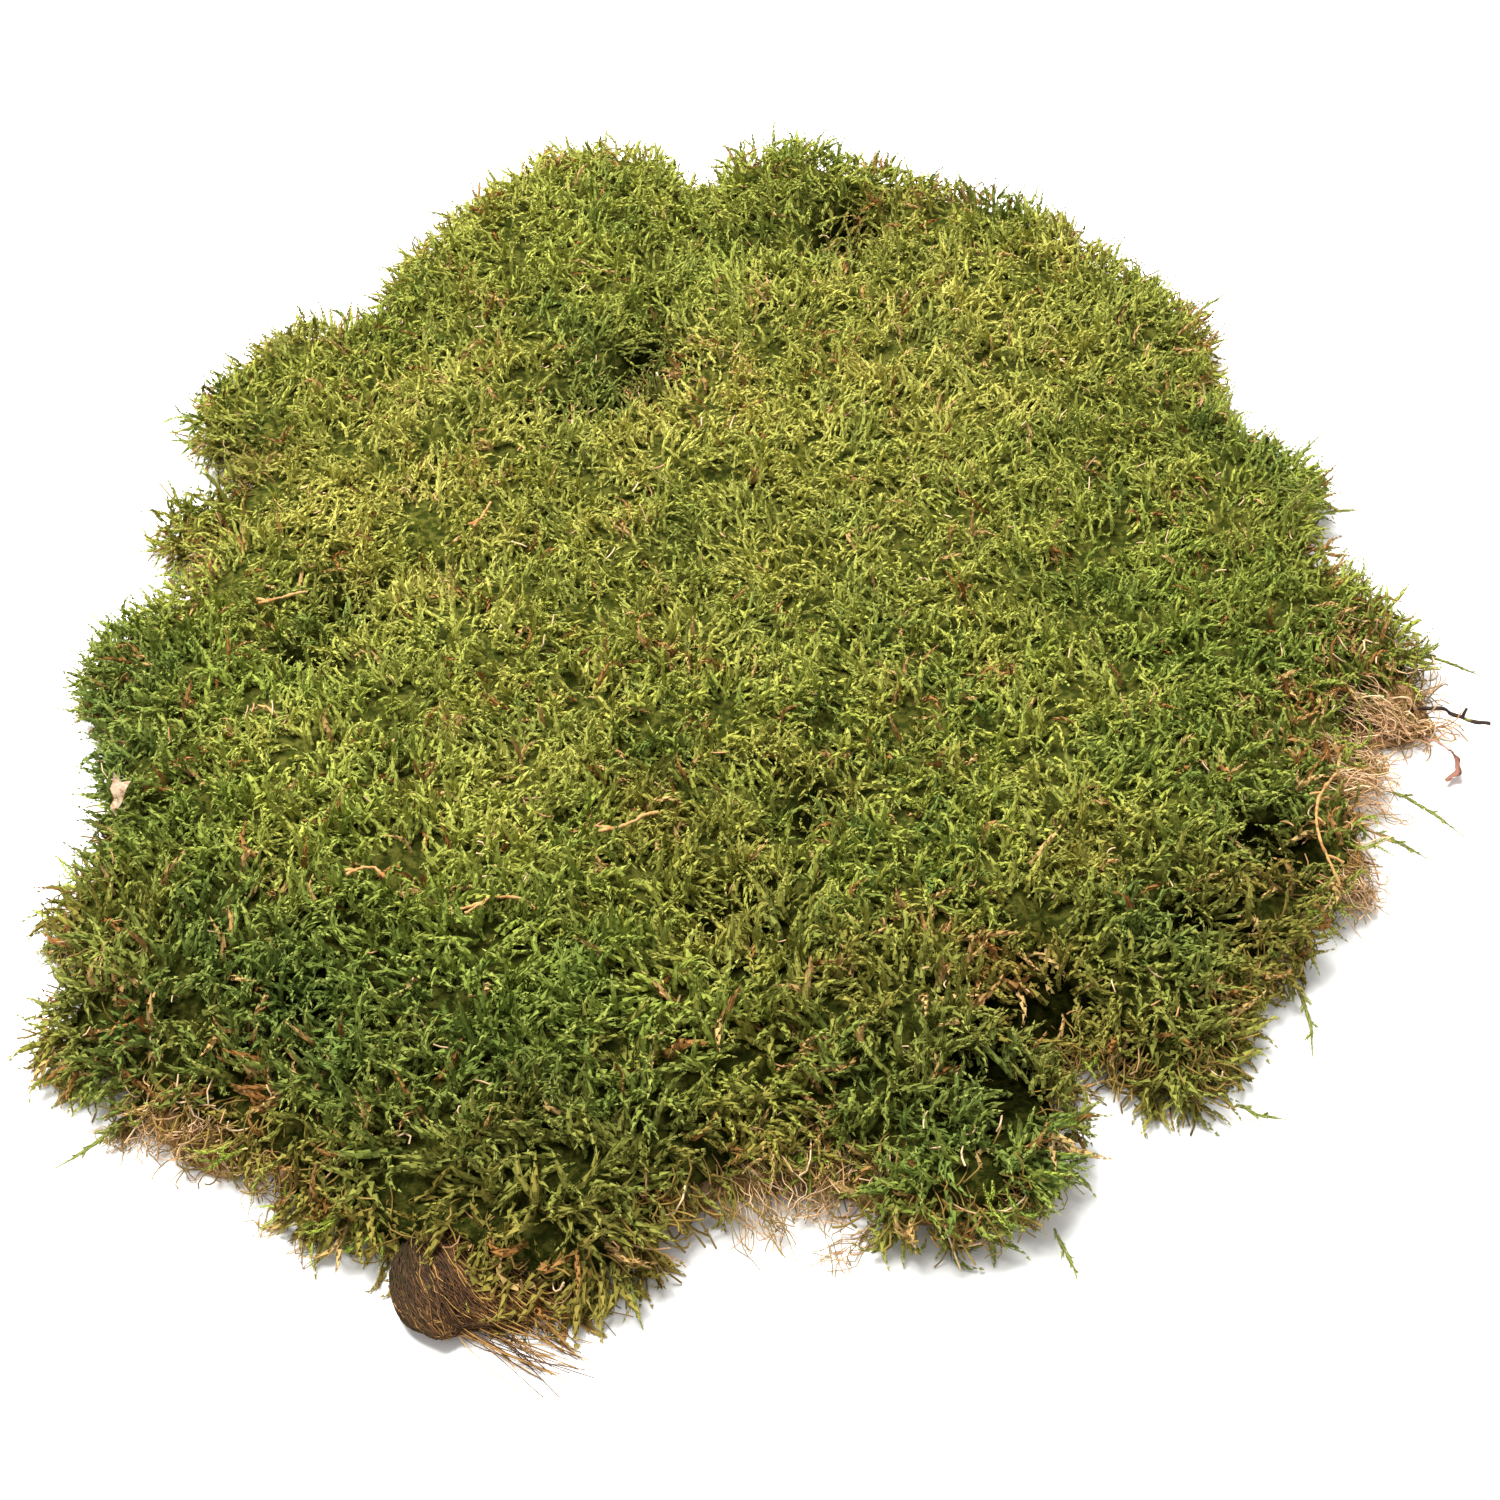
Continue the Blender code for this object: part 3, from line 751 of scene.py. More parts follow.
@dataclass(frozen=True)
class Whorl:
    """A ring of small pointed leaves, which repeats along a shoot."""

    width: float
    length: float
    stem: float  # distance of its base from the middle of the shoot
    opening: float = 10.0  # how far a leaf stands off the shoot, in degrees
    leaves: int = 3  # how many leaves stand round it

    def build(self, name: str) -> Object:
        """Build the ring of leaves round +Z.

        Args:
            name: The object's name.

        Returns:
            The object, outside the scene.
        """
        points = []
        lift = math.radians(self.opening)
        tip = self.stem + self.length * math.sin(lift)
        for leaf in range(self.leaves):
            turn = 2 * math.pi * leaf / self.leaves
            out = np.array([math.cos(turn), math.sin(turn), 0.0])
            side = np.array([-out[1], out[0], 0.0]) * self.width / 2
            top = np.array([0.0, 0.0, self.length * math.cos(lift)])
            points += [out * self.stem - side, out * self.stem + side, out * tip + top]
        faces = [(first, first + 1, first + 2) for first in range(0, len(points), 3)]
        return bpy.data.objects.new(name, plain_mesh(name, np.array(points), faces))


class Habit(Enum):
    """How a shoot grows: its bend in degrees, its wave in degrees and its side shoots."""

    STRAIGHT = (25.0, 10.0, 0)
    ARCHED = (75.0, 12.0, 0)
    HOOKED = (125.0, 10.0, 0)
    WAVED = (45.0, 40.0, 0)
    FORKED = (50.0, 18.0, 1)
    CURLED = (190.0, 30.0, 0)


@dataclass(frozen=True)
class Forms:
    """One kind of shoot or fibre in several forms, which a surface repeats."""

    name: str = "shoot"
    habits: tuple[Habit, ...] = (Habit.ARCHED, Habit.HOOKED, Habit.WAVED, Habit.FORKED, Habit.CURLED)
    each: int = 4  # how many forms there are of each habit
    length: float = 10.0 * MM
    radius: float = 0.24 * MM  # radius of its strand
    spacing: float = 2.4 * MM  # distance between two rings of its strand, or between two whorls
    root: float = 0.80  # thickness at the root as a share of the middle's
    tip: float = 0.45  # thickness at the tip as a share of the middle's
    steps: int = 10  # points along its path
    branch_start: float = 0.42  # where along a shoot its side shoot leaves
    branch_share: float = 0.45  # a side shoot's length as a share of its shoot's
    branch_angle: float = 48.0  # how far it turns away, in degrees
    whorl: Whorl | None = None  # leaves that stand in place of the strand
    bare: float = 0.12  # share of a leafy form, from its root, that has no leaves

    def paths(self, habit: Habit, rng: np.random.Generator) -> list[Array]:
        """Paths of one form and its side shoots, growing up from the origin.

        Args:
            habit: How it grows.
            rng: The random numbers.

        Returns:
            The points of each path.
        """
        bend, wave, branches = habit.value
        bend *= rng.uniform(0.75, 1.25)
        main = self.grown(bend, wave * rng.uniform(0.7, 1.3), rng.uniform(0, 2 * math.pi), 1.0)
        paths = [main]
        for _ in range(branches):
            first = int(self.branch_start * self.steps)
            side = self.grown(bend * 0.8, wave, rng.uniform(0, 2 * math.pi), self.branch_share)
            angle = math.radians(self.branch_angle)
            around = rng.uniform(0.0, 2 * math.pi)
            lean = np.array([math.sin(angle) * math.cos(around), math.sin(angle) * math.sin(around)])
            side[:, :2] += side[:, 2:] * lean * 1.2
            paths.append(side + main[first])
        return paths

    def grown(self, bend: float, wave: float, phase: float, share: float) -> Array:
        """Path that bends over towards +X and waves on the way.

        Args:
            bend: The whole bend, in degrees.
            wave: The swing of the wave, in degrees.
            phase: Where the wave starts.
            share: The length as a share of a full form's.

        Returns:
            The points.
        """
        step = self.length * share / self.steps
        place = np.zeros(3)
        points = [place.copy()]
        for index in range(self.steps):
            way = (index + 0.5) / self.steps
            tilt = math.radians(bend * way**1.3 + wave * math.sin(phase + way * 5.0))
            swing = math.radians(wave * math.cos(phase + way * 4.0))
            heading = np.array([math.sin(tilt), math.sin(swing) * 0.8, math.cos(tilt)])
            place = place + unit(heading) * step
            points.append(place.copy())
        return np.array(points)

    def build(self) -> Collection:
        """Build every form.

        Returns:
            The collection of forms, outside the scene.
        """
        rng = np.random.default_rng(SEED)
        settings: dict[str, Any] = {"Root_Size": self.root, "Tip_Size": self.tip}
        if self.whorl is None:
            tree = STRAND_TREE
            settings.update(Radius=self.radius, Sides=3)
        else:
            tree = LEAFY_TREE
            settings.update(Whorl=self.whorl.build(self.name + "_whorl"), Bare=self.bare)
        forms = bpy.data.collections.new(self.name + "_forms")
        for habit in self.habits:
            for number in range(self.each):
                name = f"{self.name}_{habit.name.lower()}_{number}"
                source = path_mesh(name, self.paths(habit, rng))
                mesh = run_tree(name, source, tree, Spacing=self.spacing, **settings)
                mesh.materials.clear()
                forms.objects.link(bpy.data.objects.new(name, mesh))
        return forms


def gathered(name: str, *kinds: Collection) -> Collection:
    """Put several kinds of forms into one collection.

    Args:
        name: The collection's name.
        kinds: The collections of each kind.

    Returns:
        The collection of them all.
    """
    every = bpy.data.collections.new(name)
    for kind in kinds:
        for form in kind.objects:
            every.objects.link(form)
    return every


class PathTree(GeometryTree):
    """A tree that follows paths: it spaces their points evenly and knows how far along each is."""

    def __init__(self, name: str) -> None:
        """Start the tree with the settings that every such tree has.

        Args:
            name: The tree's name.
        """
        super().__init__(name)
        spacing = self.setting("Spacing", "Float", 1.0 * MM)
        root = self.setting("Root Size", "Float", 0.75)
        tip = self.setting("Tip Size", "Float", 0.35)
        self.material = self.setting("Material", "Material")
        curve = self.node("GeometryNodeMeshToCurve", {"Mesh": self.start.outputs["Geometry"]})
        inputs = {"Curve": curve.outputs["Curve"], "Length": spacing}
        even = self.node("GeometryNodeResampleCurve", inputs, mode="LENGTH")
        way = self.node("GeometryNodeSplineParameter")
        self.curve = self.store(even.outputs["Curve"], "rise", way.outputs["Factor"])
        self.index = self.node("GeometryNodeInputIndex").outputs[0]
        rise = self.named("rise")
        grown = self.remap(rise, (0.0, 0.35), (0.0, 1.0))
        swell = self.math("MULTIPLY_ADD", grown, self.math("SUBTRACT", 1.0, root), root)
        taper = self.remap(rise, (0.55, 1.0), (0.0, 1.0))
        thin = self.math("MULTIPLY_ADD", taper, self.math("SUBTRACT", tip, 1.0), 1.0)
        self.size = self.math("MULTIPLY", swell, thin)


def leafy_tree(name: str) -> NodeTree:
    """Build the tree that sets whorls of leaves along paths, smaller towards the tip.

    Args:
        name: The tree's name.

    Returns:
        The tree.
    """
    tree = PathTree(name)
    whorl = tree.setting("Whorl", "Object")
    bare = tree.setting("Bare", "Float", 0.0)
    seed = tree.setting("Seed", "Int", SEED)
    points = tree.node("GeometryNodeCurveToPoints", {"Curve": tree.curve}, mode="EVALUATED")
    low = tree.math("LESS_THAN", tree.named("rise"), bare)
    inputs = {"Geometry": points.outputs["Points"], "Selection": low}
    leafy = tree.node("GeometryNodeDeleteGeometry", inputs, domain="POINT")
    turn = tree.math("MULTIPLY_ADD", tree.index, 1.05, tree.random(-0.3, 0.3, seed))
    inputs = {
        "Points": leafy.outputs["Geometry"],
        "Instance": tree.node("GeometryNodeObjectInfo", {"Object": whorl}).outputs["Geometry"],
        "Rotation": tree.turned(points.outputs["Tangent"], turn),
        "Scale": tree.math("MULTIPLY", tree.size, tree.random(0.85, 1.15, seed))
    }
    placed = tree.node("GeometryNodeInstanceOnPoints", inputs)
    return tree.finish(placed.outputs["Instances"], tree.material)


def strand_tree(name: str) -> NodeTree:
    """Build the tree that turns paths into round tapering strands.

    Args:
        name: The tree's name.

    Returns:
        The tree.
    """
    tree = PathTree(name)
    radius = tree.setting("Radius", "Float", 0.5 * MM)
    sides = tree.setting("Sides", "Int", 3)
    wide = tree.node("GeometryNodeSetCurveRadius", {"Curve": tree.curve, "Radius": tree.size})
    circle = {"Resolution": sides, "Radius": radius}
    profile = tree.node("GeometryNodeCurvePrimitiveCircle", circle)
    inputs = {"Curve": wide.outputs["Curve"], "Profile Curve": profile.outputs["Curve"]}
    tube = tree.node("GeometryNodeCurveToMesh", {**inputs, "Fill Caps": True})
    split = tree.node("GeometryNodeTriangulate", {"Mesh": tube.outputs["Mesh"]})
    smooth = tree.node("GeometryNodeSetShadeSmooth", {"Geometry": split.outputs["Mesh"]})
    return tree.finish(smooth.outputs["Geometry"], tree.material)


def scatter_tree(name: str) -> NodeTree:
    """Build the tree that grows forms from a surface, along its own lean.

    The surface carries `lean`, `vigour`, `girth`, `crowd` and `dry` on its points.

    Args:
        name: The tree's name.

    Returns:
        The tree.
    """
    tree = GeometryTree(name)
    forms = tree.setting("Forms", "Collection")
    material = tree.setting("Material", "Material")
    density = tree.setting("Density", "Float", 200000.0)
    room = tree.setting("Room", "Float", 1.5 * MM)
    spread = tree.setting("Spread", "Float", 0.5)
    short = tree.setting("Short", "Float", 0.7)
    long = tree.setting("Long", "Float", 1.2)
    seed = tree.setting("Seed", "Int", SEED)
    inputs = {"Mesh": tree.start.outputs["Geometry"], "Distance Min": room, "Seed": seed}
    inputs.update({"Density Max": density, "Density Factor": tree.named("crowd")})
    spots = tree.node("GeometryNodeDistributePointsOnFaces", inputs, distribute_method="POISSON")
    other = tree.math("ADD", seed, 1.0)
    points = tree.store(spots.outputs["Points"], "tone", tree.random(0.0, 1.0, other))
    draw = tree.random(0.0, 1.0, tree.math("ADD", seed, 2.0))
    gone = tree.math("LESS_THAN", draw, tree.named("dry"))
    points = tree.store(points, "withered", gone)
    points = tree.store(points, "plant", tree.node("GeometryNodeInputIndex").outputs[0])
    stray = tree.random((-1.0, -1.0, -0.4), (1.0, 1.0, 0.7), tree.math("ADD", seed, 3.0))
    scaled = tree.node("ShaderNodeVectorMath", {0: stray, "Scale": spread}, operation="SCALE")
    way = tree.vector_math("ADD", tree.named("lean", "FLOAT_VECTOR"), scaled.outputs[0])
    roll = tree.random(0.0, 2 * math.pi, tree.math("ADD", seed, 4.0))
    stretch = tree.random(short, long, tree.math("ADD", seed, 5.0))
    stretch = tree.math("MULTIPLY", stretch, tree.named("vigour"))
    girth = tree.random(0.85, 1.2, tree.math("ADD", seed, 6.0))
    girth = tree.math("MULTIPLY", girth, tree.named("girth"))
    scale = tree.node("ShaderNodeCombineXYZ", {0: girth, 1: girth, 2: stretch})
    inputs = {"Collection": forms, "Separate Children": True, "Reset Children": True}
    shapes = tree.node("GeometryNodeCollectionInfo", inputs)
    inputs = {"Points": points, "Instance": shapes.outputs["Instances"], "Pick Instance": True}
    inputs.update({"Rotation": tree.turned(way, roll), "Scale": scale.outputs[0]})
    grown = tree.node("GeometryNodeInstanceOnPoints", inputs)
    return tree.finish(grown.outputs["Instances"], material)


def settle(mesh: Mesh, ground: float) -> None:
    """Press what would hang below the ground up on to it, each plant as a whole.

    Args:
        mesh: The mesh, whose points know which plant they belong to.
        ground: The lowest height allowed.
    """
    count = len(mesh.vertices)
    plant = np.zeros(count)
    mesh.attributes["plant"].data.foreach_get("value", plant)
    places = np.zeros(count * 3)
    mesh.vertices.foreach_get("co", places)
    places = places.reshape(-1, 3)
    height = places[:, 2]
    starts = np.flatnonzero(np.diff(plant, prepend=-1.0))
    lengths = np.diff(starts, append=count)
    lowest = np.repeat(np.minimum.reduceat(height, starts), lengths)
    root = np.maximum(np.repeat(height[starts], lengths), ground + 0.4 * MM)
    pressed = root - (root - height) * (root - ground) / np.maximum(root - lowest, 1e-9)
    places[:, 2] = np.where((lowest < ground) & (height < root), pressed, height)
    mesh.vertices.foreach_set("co", places.ravel())
    mesh.attributes.remove(mesh.attributes["plant"])
    mesh.update()


STRAND_TREE = strand_tree("strands")
LEAFY_TREE = leafy_tree("leafy_shoots")


@dataclass
class Planter:
    """Grows forms from surfaces, each piece with a seed of its own."""

    tree: NodeTree
    ground: float = 0.3 * MM  # lowest height that anything may hang to
    planted: int = 0  # how many pieces it has grown

    def grow(
        self, name: str, surface: Mesh, forms: Collection,
        finish: Material, keeping: tuple[str, ...], **settings: float
    ) -> None:
        """Grow one piece and hand it over.

        Args:
            name: The piece's name.
            surface: The surface it grows from, which is used up.
            forms: The forms it repeats.
            finish: Its material.
            keeping: Its material slot, then the solids it stands for.
            settings: The tree's other inputs.
        """
        self.planted += 1
        seed = SEED + 10 * self.planted
        mesh = run_tree(name, surface, self.tree, Forms=forms, Material=finish, Seed=seed, **settings)
        settle(mesh, self.ground)
        keep(show(name, mesh), *keeping)


# The living carpet and the felt under it


@dataclass(frozen=True)
class Zone:
    """A part of the carpet whose shoots are one piece."""

    name: str
    low: tuple[float, float]  # lowest x and y
    high: tuple[float, float]  # highest x and y

    def holds(self, places: Array) -> Array:
        """Which of the places lie in the zone."""
        flat = places[:, :2]
        return ((flat >= np.array(self.low)) & (flat < np.array(self.high))).all(axis=1)


FAR = 1.0
EVERYWHERE = Zone("everywhere", (-FAR, -FAR), (FAR, FAR))
ZONES = (
    Zone("turf_back_left", (-FAR, 0.095), (-0.008, FAR)),
    Zone("turf_back_right", (-0.008, 0.095), (FAR, FAR)),
    Zone("turf_left", (-FAR, -0.020), (-0.050, 0.095)),
    Zone("turf_middle", (-0.050, -0.020), (0.060, 0.095)),
    Zone("turf_right", (0.060, -0.020), (FAR, 0.095)),
    Zone("turf_front_left", (-FAR, -FAR), (-0.075, -0.020)),
    Zone("turf_front", (-0.075, -FAR), (0.015, -0.020)),
    Zone("turf_front_right", (0.015, -FAR), (FAR, -0.020))
)


@dataclass
class Mat:
    """Closed flat body that follows one of the solids on a fine grid, and what grows from it."""

    name: str
    node: str  # solid it follows
    spacing: float  # distance between the points of its top
    sink: float  # how far its top lies under the solid's
    inset: float  # how far its edge stays behind the solid's edge
    bulge: float  # how far its side swells out
    lumps: float  # height of its lumps
    lump_size: float
    clear: float  # how far its underside stays over the solid's underside
    reach: float = 9.0 * MM  # how wide a stretch of the edge says which way out is
    ragged: float = 1.3  # how uneven its edge is, as a share of the inset
    trim: float = 6.0 * MM  # how far its edge draws back where it is trimmed
    points: Array = field(init=False)  # its points: top, belt, foot and underside
    faces: list[tuple[int, ...]] = field(init=False)  # its faces, those that things grow from first
    growing: int = field(init=False)  # how many faces things grow from
    out: Array = field(init=False)  # way out at each point
    away: Array = field(init=False)  # distance of each point to the edge
    wall: Array = field(init=False)  # 0 on the top, more than that on the side, and 1 at its foot

    def honeycomb(self) -> tuple[Array, int, int]:
        """Points of a honeycomb over the whole solid.

        Returns:
            The points seen from above, the number of rows and the number in each row.
        """
        low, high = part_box(self.node)
        rise = self.spacing * math.sqrt(3) / 2
        rows = int((high.y - low.y) / rise) + 5
        columns = int((high.x - low.x) / self.spacing) + 5
        row, column = np.meshgrid(np.arange(rows), np.arange(columns), indexing="ij")
        x = low.x + (column - 2 + 0.5 * (row % 2)) * self.spacing
        y = low.y + (row - 2) * rise
        return np.stack([x.ravel(), y.ravel()], axis=1), rows, columns

    def holes(self, flat: Array) -> Array:
        """Which places seen from above are left open."""
        return np.zeros(len(flat), bool)

    def thinned(self, flat: Array) -> Array:
        """Share of the solid's height that is left at each place."""
        return np.ones(len(flat))

    def torn(self, flat: Array) -> Array:
        """How far the edge stays behind the solid's edge at each place."""
        uneven = 1.0 + self.ragged * field_noise(np.pad(flat, ((0, 0), (0, 1))), 9.0 * MM, 8)
        held = 1.0 - 0.9 * growth_share(flat, Growth.REACH)
        return self.inset * uneven * held + self.trim * growth_share(flat, Growth.TRIM)

    def triangles(self, kept: Array, rows: int, columns: int) -> list[tuple[int, int, int]]:
        """Triangles of the honeycomb whose corners are all kept.

        Args:
            kept: Whether each point is kept.
            rows: The number of rows.
            columns: The number of points in each row.

        Returns:
            The triangles, facing up.
        """
        found = []
        for row in range(rows - 1):
            for column in range(columns - 1):
                here = row * columns + column
                above = here + columns
                if row % 2:
                    both = ((here, above + 1, above), (here, here + 1, above + 1))
                else:
                    both = ((here, here + 1, above), (here + 1, above + 1, above))
                found += [three for three in both if kept[list(three)].all()]
        return found

    def sheet(self) -> tuple[BMesh, Array]:
        """Top of the mat as an open sheet without corners that only touch.

        Returns:
            The sheet and the height of the underside at each of its points.
        """
        flat, rows, columns = self.honeycomb()
        top, under = heights(solid_tree(self.node), flat)
        outside = np.isnan(top)
        edge = KDTree(int(outside.sum()))
        for number, (x, y) in enumerate(flat[outside]):
            edge.insert((x, y, 0.0), number)
        edge.balance()
        away = np.array([edge.find((x, y, 0.0))[2] for x, y in flat])
        kept = ~outside & (away > self.torn(flat)) & ~self.holes(flat)
        faces = self.triangles(kept, rows, columns)
        used = sorted({corner for face in faces for corner in face})
        number = {old: new for new, old in enumerate(used)}
        places = np.column_stack([flat[used], top[used]])
        places[:, 2] = places[:, 2] * self.thinned(flat[used]) - self.sink
        places[:, 2] += self.lumps * field_noise(places, self.lump_size, 1)
        bm = bmesh.new()
        base = bm.verts.layers.float.new("base")
        verts = [bm.verts.new(place) for place in places]
        for vert, height in zip(verts, under[used]):
            vert[base] = height + self.clear
        for face in faces:
            bm.faces.new([verts[number[corner]] for corner in face])
        pinched = True
        while pinched:
            pinched = [
                vert for vert in bm.verts if sum(edge.is_boundary for edge in vert.link_edges) > 2
            ]
            bmesh.ops.delete(bm, geom=pinched, context="VERTS")
        loose = [vert for vert in bm.verts if not vert.link_faces]
        bmesh.ops.delete(bm, geom=loose, context="VERTS")
        for _ in range(3):
            self.relax(bm)
        bm.verts.index_update()
        bm.verts.ensure_lookup_table()
        return bm, np.array([vert[base] for vert in bm.verts])

    @staticmethod
    def relax(bm: BMesh) -> None:
        """Round off the sheet's edge by moving its points towards their neighbours on the edge."""
        moves = {}
        for vert in bm.verts:
            sides = [edge.other_vert(vert) for edge in vert.link_edges if edge.is_boundary]
            if len(sides) == 2:
                middle = (sides[0].co + sides[1].co) / 2
                moves[vert] = vert.co.lerp(middle, 0.5)
        for vert, place in moves.items():
            vert.co = place

    def shape(self) -> None:
        """Close the sheet with a side wall and an underside, and keep its points and faces."""
        bm, base = self.sheet()
        count = len(bm.verts)
        top = np.array([vert.co for vert in bm.verts])
        top[:, 2] = np.maximum(top[:, 2], base + 0.3 * MM)
        faces = [tuple(vert.index for vert in face.verts) for face in bm.faces]
        after = {}
        for edge in bm.edges:
            if edge.is_boundary:
                loop = edge.link_loops[0]
                after[loop.vert.index] = loop.link_loop_next.vert.index
        bm.free()
        ring = sorted(after)
        place = {vert: number for number, vert in enumerate(ring)}
        before = {second: first for first, second in after.items()}
        along = np.array([top[after[vert]] - top[before[vert]] for vert in ring])
        out = unit(np.column_stack([along[:, 1], -along[:, 0], np.zeros(len(ring))]))
        belt = top[ring] + out * self.bulge
        belt[:, 2] = (top[ring, 2] + base[ring]) / 2
        foot = top[ring] + out * self.bulge * 0.5
        foot[:, 2] = base[ring]
        under = np.column_stack([top[:, :2], base])
        first_belt, first_foot = count, count + len(ring)
        first_under = first_foot + len(ring)
        growing = list(faces)
        for vert in ring:
            here, there = place[vert], place[after[vert]]
            growing.append((after[vert], vert, first_belt + here, first_belt + there))
            growing.append(
                (first_belt + there, first_belt + here, first_foot + here, first_foot + there)
            )
        inner = {vert: first_foot + place[vert] for vert in ring}
        closing = [
            tuple(inner.get(corner, first_under + corner) for corner in face[::-1]) for face in faces
        ]
        self.points = np.concatenate([top, belt, foot, under])
        self.faces = growing + closing
        self.growing = len(growing)
        self.wall = np.zeros(len(self.points))
        self.wall[first_belt:first_foot] = 0.6
        self.wall[first_foot:first_under] = 1.0
        self.away = np.zeros(len(self.points))
        self.out = np.zeros((len(self.points), 3))
        self.out[first_belt:first_foot] = out
        self.out[first_foot:first_under] = out
        for index, spot in enumerate(top):
            gap = np.hypot(*(top[ring, :2] - spot[:2]).T)
            share = np.exp(-((gap / self.reach) ** 2))
            self.out[index] = share @ out / max(share.sum(), 1e-6)
            self.away[index] = gap.min()

    def front(self) -> Array:
        """How far each point belongs to the thick front edge, from 0 to 1."""
        return 1.0 - smoothstep(-0.150, -0.060, self.points[:, 1])

    def shade(self) -> Array:
        """How much painted shade darkens it between the shoots at each point, from 0 to 1: some towards
        the front edge, more in hollows.
        """
        hollow = growth_share(self.points, Growth.HOLLOW)
        return np.clip(0.26 * self.front() + hollow, 0.0, 1.0)

    def normals(self) -> Array:
        """Normals of the surface that things grow from."""
        mesh = plain_mesh("normals", self.points, self.faces[: self.growing])
        found = np.zeros(len(self.points) * 3)
        mesh.vertex_normals.foreach_get("vector", found)
        bpy.data.meshes.remove(mesh)
        return found.reshape(-1, 3)

    def build(self, finish: Material, slot: str) -> None:
        """Build the closed body and hand it over.

        Args:
            finish: Its material.
            slot: Its material slot.
        """
        self.shape()
        mesh = plain_mesh(self.name, self.points, self.faces, shade=self.shade())
        mesh.shade_smooth()
        mesh.materials.append(finish)
        keep(show(self.name, mesh), slot, self.node)

    def ground(self, zone: Zone, values: dict[str, Array], lift: float = 0.0) -> Mesh:
        """Cut out the part of the surface that lies in a zone.

        Args:
            zone: The zone.
            values: What grows at each point of the mat.
            lift: How far the surface is raised.

        Returns:
            A mesh that carries what grows there.
        """
        faces = self.faces[: self.growing]
        middles = np.array([self.points[list(face)].mean(axis=0) for face in faces])
        inside = np.flatnonzero(zone.holds(middles))
        used = sorted({corner for index in inside for corner in faces[index]})
        number = {old: new for new, old in enumerate(used)}
        kept = [[number[corner] for corner in faces[index]] for index in inside]
        here = {key: value[used] for key, value in values.items()}
        here.setdefault("girth", np.ones(len(used)))
        return plain_mesh(zone.name, self.points[used] + np.array([0.0, 0.0, lift]), kept, **here)


def heights(tree: BVHTree, flat: Array) -> tuple[Array, Array]:
    """Heights of a solid's top and underside.

    Args:
        tree: The solid's search tree.
        flat: The places seen from above.

    Returns:
        Both heights at each place, not a number off the solid.
    """
    top = np.full(len(flat), np.nan)
    under = np.full(len(flat), np.nan)
    for index, (x, y) in enumerate(flat):
        hit = tree.ray_cast(Vector((x, y, 1.0)), Vector((0.0, 0.0, -1.0)))[0]
        if hit is not None:
            top[index] = hit.z
            under[index] = tree.ray_cast(Vector((x, y, -1.0)), Vector((0.0, 0.0, 1.0)))[0].z
    return top, under


def flow(points: Array, size: float, layer: int) -> Array:
    """Level directions that turn slowly from place to place, and fade where they would meet.

    Args:
        points: The places.
        size: How far apart they differ.
        layer: Which of the independent noise layers.

    Returns:
        Directions no longer than 1.
    """
    flat = points * np.array([1.0, 1.0, 0.0])
    both = [field_noise(flat, size, layer), field_noise(flat, size, layer + 1), np.zeros(len(flat))]
    strong = 2.4 * np.column_stack(both)
    return strong / np.maximum(np.linalg.norm(strong, axis=1), 1.0)[:, None]


